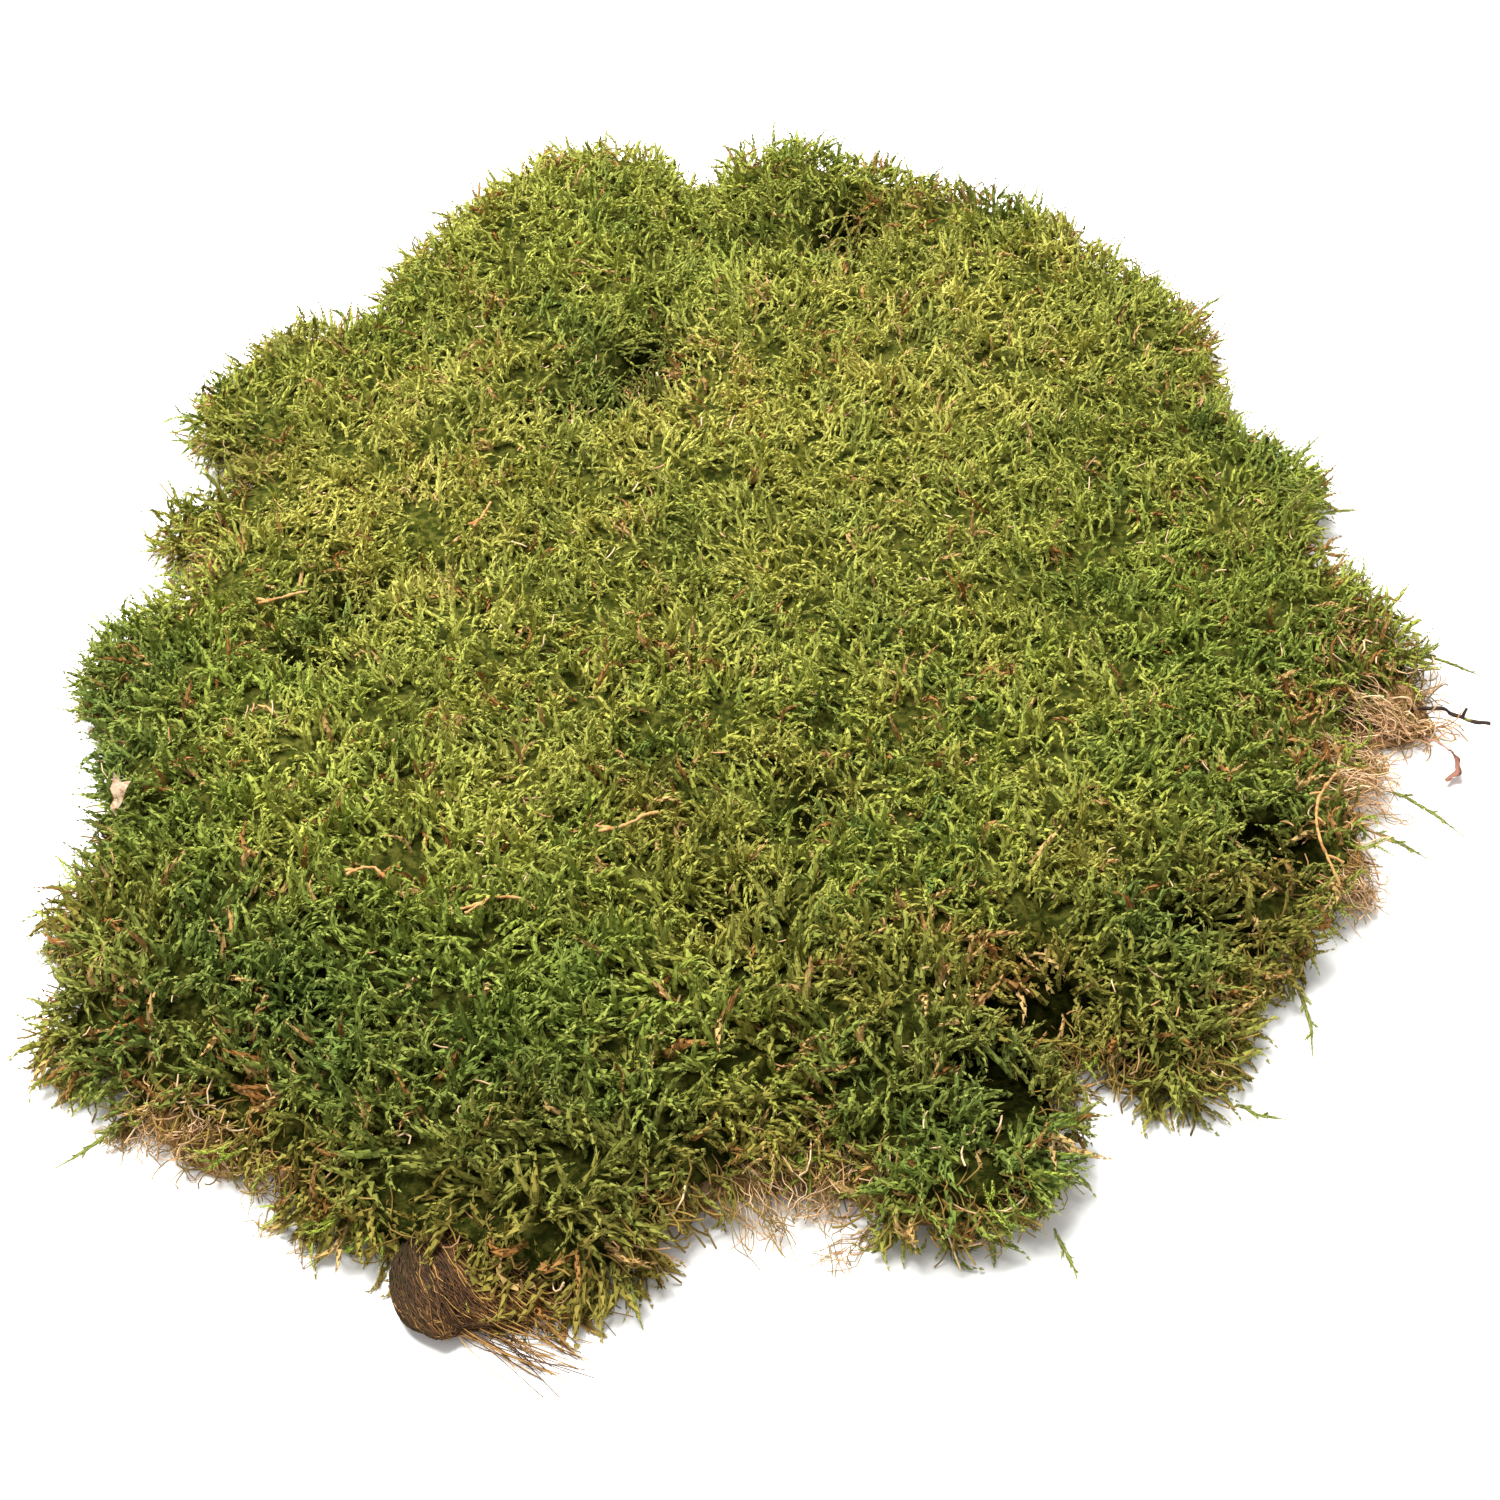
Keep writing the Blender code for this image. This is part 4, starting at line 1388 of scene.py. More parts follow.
@dataclass
class MossBed(Mat):
    """The dark body of old growth that the living shoots stand on."""

    name: str = "moss_bed"
    node: str = "moss_carpet"
    spacing: float = 4.0 * MM
    sink: float = 4.8 * MM
    inset: float = 3.6 * MM
    bulge: float = 1.0 * MM
    lumps: float = 1.1 * MM
    lump_size: float = 7.0 * MM
    clear: float = 0.4 * MM

    def holes(self, flat: Array) -> Array:
        """Which places the carpet has died back from."""
        return bald(flat)

    def thinned(self, flat: Array) -> Array:
        """Share of the carpet's height at each place, less in hollows and more at the back rim."""
        back = smoothstep(0.0, 0.05, flat[:, 1])
        swell = 0.35 * back * growth_share(flat, Growth.REACH)
        return 1.0 + swell - 0.55 * growth_share(flat, Growth.HOLLOW)

    def turf(self) -> dict[str, Array]:
        """How the living shoots grow at each point.

        Returns:
            Named values for each point.
        """
        points = self.points
        flat = points * np.array([1.0, 1.0, 0.0])
        front = self.front()
        rim = 1.0 - smoothstep(0.0, 0.014, self.away)
        patches = {kind: growth_share(points, kind) for kind in Growth}
        strength = 0.55 + 0.45 * np.abs(field_noise(flat, 0.040, 4))
        lean = 0.17 * self.normals() + flow(points, 0.013, 2) * strength[:, None]
        outward = (0.45 * rim + 0.40 * self.wall) * (1.0 - 0.8 * patches[Growth.DRY])
        outward *= 1.0 - 0.6 * patches[Growth.TRIM] + 0.5 * patches[Growth.REACH]
        lean += self.out * outward[:, None]
        lean[:, 2] -= 0.45 * self.wall * (0.4 + 0.6 * front) + 0.20 * rim * front
        lean[:, 2] -= 0.40 * patches[Growth.HANGING] * rim
        lean[:, 2] += 0.30 * patches[Growth.REACH] * rim * (1.0 - front)
        blotch = field_noise(flat, 0.012, 5)
        broad = field_noise(flat, 0.045, 6)
        dips = smoothstep(0.1, 0.7, -field_noise(flat, 0.010, 7))
        rust = smoothstep(0.15, 0.60, field_noise(flat, 0.009, 9))
        patchy = field_noise(flat, 0.018, 11)
        low = 1.0 - smoothstep(0.004, 0.015, points[:, 2])
        dry = 0.025 + 0.12 * rust + 0.60 * patches[Growth.DRY] + 0.08 * low
        vigour = 0.94 + 0.14 * broad + 0.16 * front - 0.35 * patches[Growth.DRY]
        vigour += 0.45 * patches[Growth.HANGING] + 0.30 * patches[Growth.REACH] * rim
        crowd = 1.0 - 0.20 * dips - 0.75 * patches[Growth.DRY] ** 2
        # Darker green shoots in patches and at random, with painted shade in hollows and, below, on the
        # side wall.
        deep = patches[Growth.DEEP] + 0.9 * patches[Growth.HOLLOW] - 0.3 * blotch
        deep += 0.40 * smoothstep(0.05, 0.50, patchy)
        pale = patches[Growth.PALE] + 0.3 * blotch + 0.3 * smoothstep(0.05, 0.50, -patchy)
        old = patches[Growth.OLD] + 0.25 * patches[Growth.HOLLOW] + 0.35 * blotch
        old += 0.45 * rust - 0.15
        return {
            "lean": unit(lean), "dry": np.clip(dry, 0.0, 0.9), "vigour": np.clip(vigour, 0.5, 1.5),
            "girth": 1.0 + 0.22 * front,
            "crowd": np.clip(crowd - 0.55 * patches[Growth.HOLLOW], 0.15, 1.0),
            "lush": np.clip(patches[Growth.LUSH] + 0.25 * broad, 0.0, 1.0),
            "pale": np.clip(pale, 0.0, 1.0), "deep": np.clip(deep + 0.2 * self.wall, 0.0, 1.0),
            "old": np.clip(old + 0.55 * low, 0.0, 0.95), "shade": self.shade()
        }

    def threads(self) -> dict[str, Array]:
        """How the thin dead threads hang from the edge at each point.

        Returns:
            Named values for each point.
        """
        rim = 1.0 - smoothstep(0.002, 0.008, self.away)
        front = self.front()
        lean = self.out * 0.9 + 0.35 * flow(self.points, 0.009, 30) + 0.15 * self.normals()
        lean[:, 2] -= 0.35
        broad = smoothstep(-0.3, 0.5, field_noise(self.points, 0.020, 32))
        dead = growth_share(self.points, Growth.DRY)
        return {
            "lean": unit(lean), "dry": np.clip(0.06 + 0.7 * dead, 0.0, 0.9),
            "vigour": 0.75 + 0.35 * broad,
            "crowd": np.clip(rim * (0.25 + 0.55 * front + 0.4 * dead) * (0.3 + 0.7 * broad), 0, 1),
            "old": np.clip(0.55 + 0.3 * front, 0.0, 0.9) * np.ones(len(self.points))
        }

    def wisps(self) -> dict[str, Array]:
        """How the loose leafy shoots stand out from the edge at each point.

        Returns:
            Named values for each point.
        """
        rim = 1.0 - smoothstep(0.001, 0.005, self.away)
        lean = self.out + 0.45 * flow(self.points, 0.012, 33)
        lean[:, 2] += 0.25 * (1.0 - self.front()) - 0.10
        gaps = smoothstep(0.0, 0.5, field_noise(self.points, 0.016, 35))
        return {
            "lean": unit(lean), "dry": np.full(len(self.points), 0.15), "vigour": 0.8 + 0.4 * gaps,
            "crowd": rim * gaps * (self.wall < 0.9), "lush": np.full(len(self.points), 0.4)
        }

    def litter(self) -> dict[str, Array]:
        """How dead bits lie on the turf at each point.

        Returns:
            Named values for each point.
        """
        heaps = smoothstep(0.05, 0.6, field_noise(self.points, 0.022, 36))
        dead = growth_share(self.points, Growth.DRY)
        lean = flow(self.points, 0.010, 37)
        lean[:, 2] = 0.12
        return {
            "lean": unit(lean), "dry": np.full(len(self.points), 1.0), "vigour": 0.7 + 0.3 * heaps,
            "crowd": np.clip(0.10 + 0.45 * heaps + 0.8 * dead, 0.0, 1.0) * (self.wall == 0)
        }


@dataclass
class Felt(Mat):
    """The brown felt of dead stems: whole under the carpet, thin and full of holes outside it."""

    name: str = "felt_body"
    node: str = "thatch"
    spacing: float = 4.0 * MM
    sink: float = 0.8 * MM
    inset: float = 1.5 * MM
    bulge: float = 0.8 * MM
    lumps: float = 0.7 * MM
    lump_size: float = 4.0 * MM
    clear: float = 0.0
    hole_size: float = 6.5 * MM
    thin: float = 0.50

    def bare(self, flat: Array) -> Array:
        """How far each place lies outside the carpet."""
        carpet = solid_tree("moss_carpet")
        down = Vector((0.0, 0.0, -1.0))
        covered = np.array(
            [carpet.ray_cast(Vector((x, y, 1.0)), down)[0] is not None for x, y in flat[:, :2]]
        )
        covered &= ~bald(flat)
        rim = KDTree(int(covered.sum()))
        for number, (x, y) in enumerate(flat[covered][:, :2]):
            rim.insert((x, y, 0.0), number)
        rim.balance()
        return np.array(
            [0.0 if hid else rim.find((x, y, 0.0))[2] for hid, (x, y) in zip(covered, flat[:, :2])]
        )

    def holes(self, flat: Array) -> Array:
        """Holes in the felt where no carpet covers it."""
        bare = self.bare(flat)
        uneven = field_noise(np.column_stack([flat, np.zeros(len(flat))]), self.hole_size, 20)
        whole = 0.33 - 0.35 * smoothstep(0.0, 0.006, bare) + 0.35 * growth_share(flat, Growth.DRY)
        return (bare > 0.5 * MM) & (uneven > whole) | (growth_share(flat, Growth.TRIM) > 0.70)

    def thinned(self, flat: Array) -> Array:
        """Share of the felt's height that is left outside the carpet."""
        return 1.0 - (1.0 - self.thin) * smoothstep(0.0, 0.005, self.bare(flat))

    def fibres(self) -> dict[str, Array]:
        """How the dead fibres lie at each point.

        Returns:
            Named values for each point.
        """
        shown = smoothstep(0.0, 0.0015, self.bare(self.points))
        lean = flow(self.points, 0.006, 21) + 0.12 * self.out + 0.25 * self.normals()
        dead = growth_share(self.points, Growth.DRY)
        old = growth_share(self.points, Growth.OLD)
        blotch = field_noise(self.points, 0.006, 23)
        return {
            "lean": unit(lean), "dry": np.clip(0.20 + 0.75 * dead - 0.3 * old, 0.0, 0.95),
            "vigour": np.full(len(self.points), 1.0) + 0.25 * blotch, "crowd": shown,
            "old": np.clip(0.65 + 0.4 * blotch, 0.0, 1.0)
        }


@dataclass
class Turf:
    """The living carpet: the bed, the shoots that cover it and what hangs from its edge."""

    bed: MossBed = field(default_factory=MossBed)
    # Thick shoots of the front, whose leaves lie close
    ropes: Forms = Forms(
        name="rope", each=3, length=12.0 * MM, spacing=1.1 * MM,
        whorl=Whorl(1.00 * MM, 2.0 * MM, 0.42 * MM, opening=4.0)
    )
    # Those with leaves that stand off
    shoots: Forms = Forms(
        each=3, length=12.0 * MM, spacing=1.15 * MM,
        whorl=Whorl(0.88 * MM, 2.2 * MM, 0.24 * MM, opening=8.0)
    )
    # Thin shoots between them, behind the front
    thin: Forms = Forms(
        name="thin_shoot", each=2, length=12.0 * MM, spacing=1.0 * MM,
        whorl=Whorl(0.72 * MM, 1.9 * MM, 0.15 * MM, leaves=2)
    )
    wisps: Forms = Forms(
        name="wisp", each=2, length=13.0 * MM, spacing=0.8 * MM,
        whorl=Whorl(0.50 * MM, 1.7 * MM, 0.10 * MM, opening=20.0), steps=14
    )
    threads: Forms = Forms(
        name="thread", habits=(Habit.ARCHED, Habit.HOOKED, Habit.WAVED, Habit.CURLED), length=12.0 * MM
    )
    bits: Forms = Forms(
        name="bit", habits=(Habit.STRAIGHT, Habit.ARCHED, Habit.WAVED), each=2, length=5.0 * MM,
        spacing=1.5 * MM
    )
    litter_lift: float = 4.4 * MM  # how far over the bed the dead bits lie

    def build(self, planter: Planter) -> None:
        """Build the bed and all that grows from it, and hand it over.

        Args:
            planter: What grows the shoots.
        """
        self.bed.build(OLD_GROWTH.material(), "living_moss")
        ropes, shoots, thin = (kind.build() for kind in (self.ropes, self.shoots, self.thin))
        felted = gathered("felted_forms", shoots, thin)
        roped = gathered("roped_forms", ropes, shoots)
        values = self.bed.turf()
        leaves = MossFinish().material()
        keeping = ("living_moss", "moss_carpet")
        for zone in ZONES:
            planter.grow(
                zone.name, self.bed.ground(zone, values), felted if zone.high[1] > 0.0 else roped,
                leaves, keeping, Density=500000.0, Room=1.4 * MM, Spread=0.42, Short=0.70, Long=1.20
            )
        planter.grow(
            "rim_wisps", self.bed.ground(EVERYWHERE, self.bed.wisps()), self.wisps.build(), leaves,
            keeping, Density=160000.0, Room=2.2 * MM, Spread=0.50
        )
        dead = DEAD_FIBRES.material()
        planter.grow(
            "rim_threads", self.bed.ground(EVERYWHERE, self.bed.threads()), self.threads.build(), dead,
            keeping, Density=700000.0, Room=0.9 * MM, Spread=0.45
        )
        planter.grow(
            "dead_bits", self.bed.ground(EVERYWHERE, self.bed.litter(), self.litter_lift),
            self.bits.build(), dead, keeping, Density=14000.0, Room=3.0 * MM, Spread=0.30
        )


@dataclass
class Thatch:
    """The brown felt and the tangle of dead fibres that covers it where it shows."""

    felt: Felt = field(default_factory=Felt)
    fibres: Forms = Forms(
        name="fibre", habits=(Habit.HOOKED, Habit.WAVED, Habit.CURLED), length=11.0 * MM,
        radius=0.20 * MM, spacing=1.6 * MM, root=0.6
    )

    def build(self, planter: Planter) -> None:
        """Build the felt and its fibres, and hand them over.

        Args:
            planter: What grows the fibres.
        """
        self.felt.build(BROWN_FELT.material(), "dead_thatch")
        planter.grow(
            "felt_fibres", self.felt.ground(EVERYWHERE, self.felt.fibres()), self.fibres.build(),
            DEAD_FIBRES.material(), ("dead_thatch", "thatch"), Density=1300000.0, Room=0.70 * MM,
            Spread=0.55, Short=0.5, Long=1.0
        )


# Root clump, long edge shoots and litter


def curve_through(points: Array, count: int) -> Array:
    """Even points along the smooth curve through some points.

    Args:
        points: The points it runs through.
        count: How many points come back.

    Returns:
        The points along the curve.
    """
    ends = np.vstack([2 * points[0] - points[1], points, 2 * points[-1] - points[-2]])
    share = np.linspace(0.0, 1.0, 8, endpoint=False)[:, None]
    spans = []
    for before, here, after, later in zip(ends[:-3], ends[1:-2], ends[2:-1], ends[3:]):
        slope, next_slope = (after - before) / 2, (later - here) / 2
        cubic = 2 * (here - after) + slope + next_slope
        square = 3 * (after - here) - 2 * slope - next_slope
        spans.append(here + share * slope + share**2 * square + share**3 * cubic)
    dense = np.concatenate([*spans, points[-1:]])
    travelled = np.concatenate([[0.0], np.cumsum(np.linalg.norm(np.diff(dense, axis=0), axis=1))])
    stops = np.linspace(0.0, travelled[-1], count)
    return np.column_stack([np.interp(stops, travelled, column) for column in dense.T])


def centreline(node: str, stops: int = 7) -> Array:
    """Middle line of a long thin solid, from the end nearer the clump's middle.

    Args:
        node: The solid's name.
        stops: How many slices it is measured in.

    Returns:
        The points of the line.
    """
    bm = merged_copy(node)
    places = np.array([vert.co for vert in bm.verts])
    start = int(np.linalg.norm(places - places.mean(axis=0), axis=1).argmax())
    travelled = np.full(len(places), np.inf)
    travelled[start] = 0.0
    links = [(edge.verts[0].index, edge.verts[1].index) for edge in bm.edges]
    bm.free()
    for _ in range(len(places)):
        for first, second in links:
            step = float(np.linalg.norm(places[first] - places[second]))
            travelled[second] = min(travelled[second], travelled[first] + step)
            travelled[first] = min(travelled[first], travelled[second] + step)
    share = travelled / travelled.max()
    line = [places[start]]
    for stop in range(1, stops):
        near = np.abs(share - stop / stops) < 0.5 / stops
        if near.any():
            line.append(places[near].mean(axis=0))
    line.append(places[int(share.argmax())])
    found = np.array(line)
    return found if np.hypot(*found[0, :2]) < np.hypot(*found[-1, :2]) else found[::-1]


@dataclass(frozen=True)
class Strand:
    """How a strand along a path is made."""

    radius: float
    sides: int = 3
    spacing: float = 1.6 * MM  # distance between its rings
    root: float = 0.8  # thickness at the start as a share of the middle's
    tip: float = 0.4  # thickness at the end as a share of the middle's
    knots: float = 0.0  # how far its surface is uneven

    def mesh(self, name: str, paths: Sequence[Array], **attributes: Sequence[float]) -> Mesh:
        """Make the strands along some paths.

        Args:
            name: The mesh's name.
            paths: The paths.
            attributes: One number for each path.

        Returns:
            The mesh.
        """
        made = run_tree(
            name, path_mesh(name, paths, **attributes), STRAND_TREE, Radius=self.radius,
            Sides=self.sides, Spacing=self.spacing, Root_Size=self.root, Tip_Size=self.tip
        )
        if self.knots:
            roughen(made, self.knots, 4.0 * self.radius)
        return made


def frayed(
    guides: Sequence[Array], strands: int, fray: tuple[float, float], seed: int, crimp: float = 0.0
) -> list[Array]:
    """Paths of bundles of strands, each strand straying from its guide.

    Args:
        guides: Points that each bundle runs through.
        strands: How many strands a bundle has.
        fray: How far they stray at its start and its end.
        seed: The seed.
        crimp: How far each strand wavers on its way.

    Returns:
        The paths.
    """
    rng = np.random.default_rng(seed)
    paths = []
    for guide in guides:
        reach = np.linspace(*fray, len(guide))[:, None] * np.array([1.0, 1.0, 0.45])
        for _ in range(strands):
            path = guide + rng.normal(0.0, 1.0, guide.shape) * reach
            path[-1] += (guide[-1] - guide[-2]) * rng.uniform(-0.5, 0.5)
            path = curve_through(path, 12)
            path += rng.normal(0.0, 1.0, path.shape) * crimp
            path[:, 2] = np.maximum(path[:, 2], 0.5 * MM)
            paths.append(path)
    return paths


def roughen(mesh: Mesh, depth: float, size: float) -> None:
    """Move a mesh's points in and out by smooth noise.

    Args:
        mesh: The mesh.
        depth: The furthest move.
        size: The size of the bumps.
    """
    places = np.zeros(len(mesh.vertices) * 3)
    normals = np.zeros(len(mesh.vertices) * 3)
    mesh.vertices.foreach_get("co", places)
    mesh.vertex_normals.foreach_get("vector", normals)
    places = places.reshape(-1, 3)
    moved = places + normals.reshape(-1, 3) * (depth * field_noise(places, size, 40))[:, None]
    mesh.vertices.foreach_set("co", moved.ravel())
    mesh.update()


def present(name: str, mesh: Mesh, finish: Material, *keeping: str) -> None:
    """Give a mesh its finish and hand it over as a piece.

    Args:
        name: The piece's name.
        mesh: Its mesh.
        finish: Its material.
        keeping: Its material slot, then the solids it stands for.
    """
    mesh.materials.clear()
    mesh.materials.append(finish)
    keep(show(name, mesh), *keeping)


@dataclass(frozen=True)
class Stretch:
    """A stretch of the clump's edge, seen from its middle, that loose bundles leave."""

    start: float  # bearing of its start, in degrees from +X towards +Y
    end: float  # bearing of its end
    bundles: int  # how many bundles leave it
    length: float  # how far they reach past the edge
    lift: float = 2.0 * MM  # how far over the edge they end, below 0 where they hang
    swing: float = 4.0 * MM  # how far they swing aside on the way
    inside: float = 0.5  # how far inside the edge they start, as a share of their length
    level: float = 1.7  # height where they start, as a share of the edge's

    def guides(self, bed: MossBed, rng: np.random.Generator) -> list[Array]:
        """Middle lines of its bundles, from inside the turf outwards.

        Args:
            bed: The bed whose edge they leave.
            rng: The random numbers.

        Returns:
            The points of each line.
        """
        edge = np.flatnonzero((bed.wall > 0.0) & (bed.wall < 1.0))
        x, y = bed.points[edge, :2].T
        bearings = np.degrees(np.arctan2(y, x))
        way = np.array([0.0, 0.5, 0.8, 1.0])[:, None]
        found = []
        for bearing in np.linspace(self.start, self.end, self.bundles) + rng.uniform(-1.5, 1.5):
            near = np.flatnonzero(np.abs((bearings - bearing + 180.0) % 360.0 - 180.0) < 2.5)
            spot = edge[near[np.hypot(x[near], y[near]).argmax()]]
            out = bed.out[spot]
            side = np.array([-out[1], out[0], 0.0]) * rng.uniform(-1.0, 1.0)
            reach = self.length * (way * (1.0 + self.inside) - self.inside)
            path = bed.points[spot] + out * reach + side * self.swing * way**2
            path[:, 2] = self.level * bed.points[spot, 2] + self.lift * way[:, 0] ** 2
            found.append(path)
        return found


@dataclass
class Fringe:
    """Dead strands and leafy wisps that leave the edge one by one."""

    strand: Strand = Strand(0.13 * MM, spacing=1.3 * MM, root=0.9, tip=0.4)
    # Stretches of the edge where dead strands hang out
    dead: tuple[Stretch, ...] = (
        Stretch(228, 240, 8, 8.0 * MM, lift=-6.0 * MM, inside=0.1, level=1.0),
        Stretch(271, 277, 7, 16.0 * MM, lift=-6.0 * MM, inside=0.1, level=1.0),
        Stretch(286, 290, 3, 6.0 * MM, lift=-6.0 * MM, inside=0.1, level=1.0),
        Stretch(321, 329, 7, 8.0 * MM, lift=-6.0 * MM, inside=0.1, level=1.0),
        Stretch(332, 343, 12, 12.0 * MM, lift=-5.0 * MM, swing=9.0 * MM, inside=0.4, level=1.2),
        Stretch(2, 6, 2, 8.0 * MM, lift=-4.0 * MM, inside=0.2, level=1.0)
    )
    strands: int = 12
    fray: tuple[float, float] = (2.2 * MM, 2.4 * MM)  # how far they stray at its start and its end
    crimp: float = 0.45 * MM  # how far each strand wavers on its way
    # Stretches of the edge where leafy wisps stand out
    leafy: tuple[Stretch, ...] = (
        Stretch(-6, 28, 7, 9.0 * MM), Stretch(44, 94, 16, 10.0 * MM), Stretch(99, 108, 3, 9.0 * MM),
        Stretch(116, 132, 6, 14.0 * MM), Stretch(135, 155, 6, 8.0 * MM),
        Stretch(211, 215, 5, 8.0 * MM, lift=-3.0 * MM), Stretch(220, 226, 5, 6.0 * MM, lift=-3.0 * MM)
    )
    shoots: int = 3  # how many shoots a bundle has
    loose: tuple[float, float] = (2.0 * MM, 1.3 * MM)  # how far they stray at its start and its end
    whorl: Whorl = Whorl(0.50 * MM, 1.6 * MM, 0.10 * MM, opening=18.0)
    spacing: float = 0.75 * MM  # distance between two whorls

    def build(self, bed: MossBed) -> None:
        """Build the dead strands and the leafy wisps, and hand them over.

        Args:
            bed: The bed whose edge they leave.
        """
        rng = np.random.default_rng(SEED + 6)
        guides = [guide for stretch in self.dead for guide in stretch.guides(bed, rng)]
        paths = frayed(guides, self.strands, self.fray, SEED + 5, self.crimp)
        bare = growth_share(np.array([path.mean(axis=0) for path in paths]), Growth.DRY)
        shades = {
            "tone": rng.uniform(0.0, 1.0, len(paths)),
            "withered": rng.uniform(0.0, 1.0, len(paths)) < 0.15 + 0.75 * bare,
            "old": rng.uniform(0.2, 0.9, len(paths))
        }
        mesh = self.strand.mesh("fringe_strands", paths, **shades)
        present("fringe_strands", mesh, DEAD_FIBRES.material(), "dead_thatch", "thatch")
        guides = [guide for stretch in self.leafy for guide in stretch.guides(bed, rng)]
        paths = frayed(guides, self.shoots, self.loose, SEED + 7)
        mesh = run_tree(
            "fringe_wisps", path_mesh("fringe_wisps", paths, tone=rng.uniform(0.2, 0.9, len(paths))),
            LEAFY_TREE, Whorl=self.whorl.build("fringe_whorl"), Spacing=self.spacing, Root_Size=0.8,
            Tip_Size=0.4
        )
        present("fringe_wisps", mesh, SPRIG_LEAVES.material(), "living_moss", "moss_carpet")


@dataclass
class RootClump:
    """Lump of matted rootlets, combed down on its left and away to the right."""

    cuts: int = 3  # how often each edge of the solid is cut
    grooves: float = 0.9 * MM  # depth of the grooves between its bundles
    front_share: float = 0.88  # how much of its width from back to front is left
    squash: float = 0.80  # height of the lump as a share of the solid's
    tail: tuple[float, float] = (-0.070, -0.046)  # where the lump thins out into its tail, from and to
    tail_share: float = 0.22  # height of the tail as a share of the solid's
    combed_count: int = 1600  # how many rootlets follow the lump's surface
    combed_stride: float = 2.0 * MM  # distance between two points of such a rootlet
    combed_steps: int = 7  # how many of them it has
    rootlet: Strand = Strand(0.12 * MM, spacing=2.4 * MM, root=0.7, tip=0.4)
    # Routes of the first and the last bundle that trail off it, in millimetres
    trails: tuple[Route, Route] = (
        ((-68, -217, 4), (-58, -223, 2), (-45, -229, 1)),
        ((-52, -205, 7), (-43, -208, 4), (-36, -213, 1))
    )
    bundles: int = 5  # how many there are, side by side
    strands: int = 22
    fray: tuple[float, float] = (1.6 * MM, 2.4 * MM)  # how far they stray at its start and its end

    def core(self) -> tuple[Array, list[tuple[int, ...]], Array]:
        """Grooved body of the lump.

        Returns:
            Its points, its faces and its normals.
        """
        bm = merged_copy("root_clump")
        bmesh.ops.subdivide_edges(bm, edges=bm.edges[:], cuts=self.cuts, use_grid_fill=True)
        bmesh.ops.triangulate(bm, faces=bm.faces[:])
        every_way = {"use_axis_x": True, "use_axis_y": True, "use_axis_z": True}
        for _ in range(4):
            bmesh.ops.smooth_vert(bm, verts=bm.verts[:], factor=0.5, **every_way)
        bm.normal_update()
        places = np.array([vert.co for vert in bm.verts])
        normals = np.array([vert.normal for vert in bm.verts])
        faces = [tuple(vert.index for vert in face.verts) for face in bm.faces]
        bm.free()
        combed = self.combed(places, normals)
        across = (places * np.cross(combed, normals)).sum(axis=1)
        drift = np.column_stack([across, places[:, 0] * 0.25, places[:, 2] * 0.25])
        depth = self.grooves * (field_noise(drift, 2.2 * MM, 41) - 0.3)
        places = places + normals * np.minimum(depth, 0.2 * MM)[:, None]
        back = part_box("root_clump")[1].y
        places[:, 1] = back + (places[:, 1] - back) * self.front_share
        past = np.maximum(places[:, 0] - self.tail[0], 0.0)
        places[:, 0] -= 0.45 * past
        thinned = smoothstep(*self.tail, places[:, 0])
        places[:, 2] *= self.squash + (self.tail_share - self.squash) * thinned
        places[:, 2] = np.maximum(places[:, 2], 0.4 * MM)
        return places, faces, normals

    def combed(self, places: Array, normals: Array) -> Array:
        """Direction in which the rootlets are combed at each place on the lump.

        Args:
            places: The places.
            normals: The normals there.

        Returns:
            Directions along the surface.
        """
        low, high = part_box("root_clump")
        way = np.clip((places[:, 0] - low.x) / (high.x - low.x), 0.0, 1.0)
        down = -0.9 * (1.0 - way) ** 2 - 0.1
        level = np.column_stack([0.15 + 1.5 * way, down, np.zeros(len(way))])
        return unit(level - normals * (level * normals).sum(axis=1)[:, None])

    def build(self) -> None:
        """Build the lump, its rootlets and its trailing bundles, and hand them over."""
        keeping = ("matted_roots", "root_clump")
        places, faces, normals = self.core()
        body = plain_mesh("root_body", places, faces)
        body.shade_smooth()
        present("root_body", body, ROOT_FELT.material(), *keeping)
        first, last = (np.array(route) * MM for route in self.trails)
        guides = [first + (last - first) * share for share in np.linspace(0.0, 1.0, self.bundles)]
        for name, paths in (
            ("root_fibres", self.streams(places, faces, normals)),
            ("root_trails", frayed(guides, self.strands, self.fray, SEED + 1))
        ):
            mesh = self.rootlet.mesh(name, paths, **self.shades(paths))
            present(name, mesh, ROOT_FIBRES.material(), *keeping)

    def shades(self, paths: Sequence[Array]) -> dict[str, Array]:
        """Colours of the rootlets: dark on the left, with golden ones in the middle and the tail.

        Args:
            paths: Their paths.

        Returns:
            Named values for each path.
        """
        rng = np.random.default_rng(SEED + 3)
        low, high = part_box("root_clump")
        middles = np.array([path.mean(axis=0) for path in paths])
        way = (middles[:, 0] - low.x) / (high.x - low.x)
        golden = smoothstep(-0.50, 0.25, field_noise(middles, 4.0 * MM, 42))
        golden *= smoothstep(0.05, 0.35, way)
        return {
            "tone": rng.uniform(0.0, 1.0, len(paths)),
            "withered": rng.uniform(0.0, 1.0, len(paths)) < 0.06 + 0.75 * golden,
            "deep": 0.8 * (1.0 - smoothstep(0.0, 0.35, way))
        }

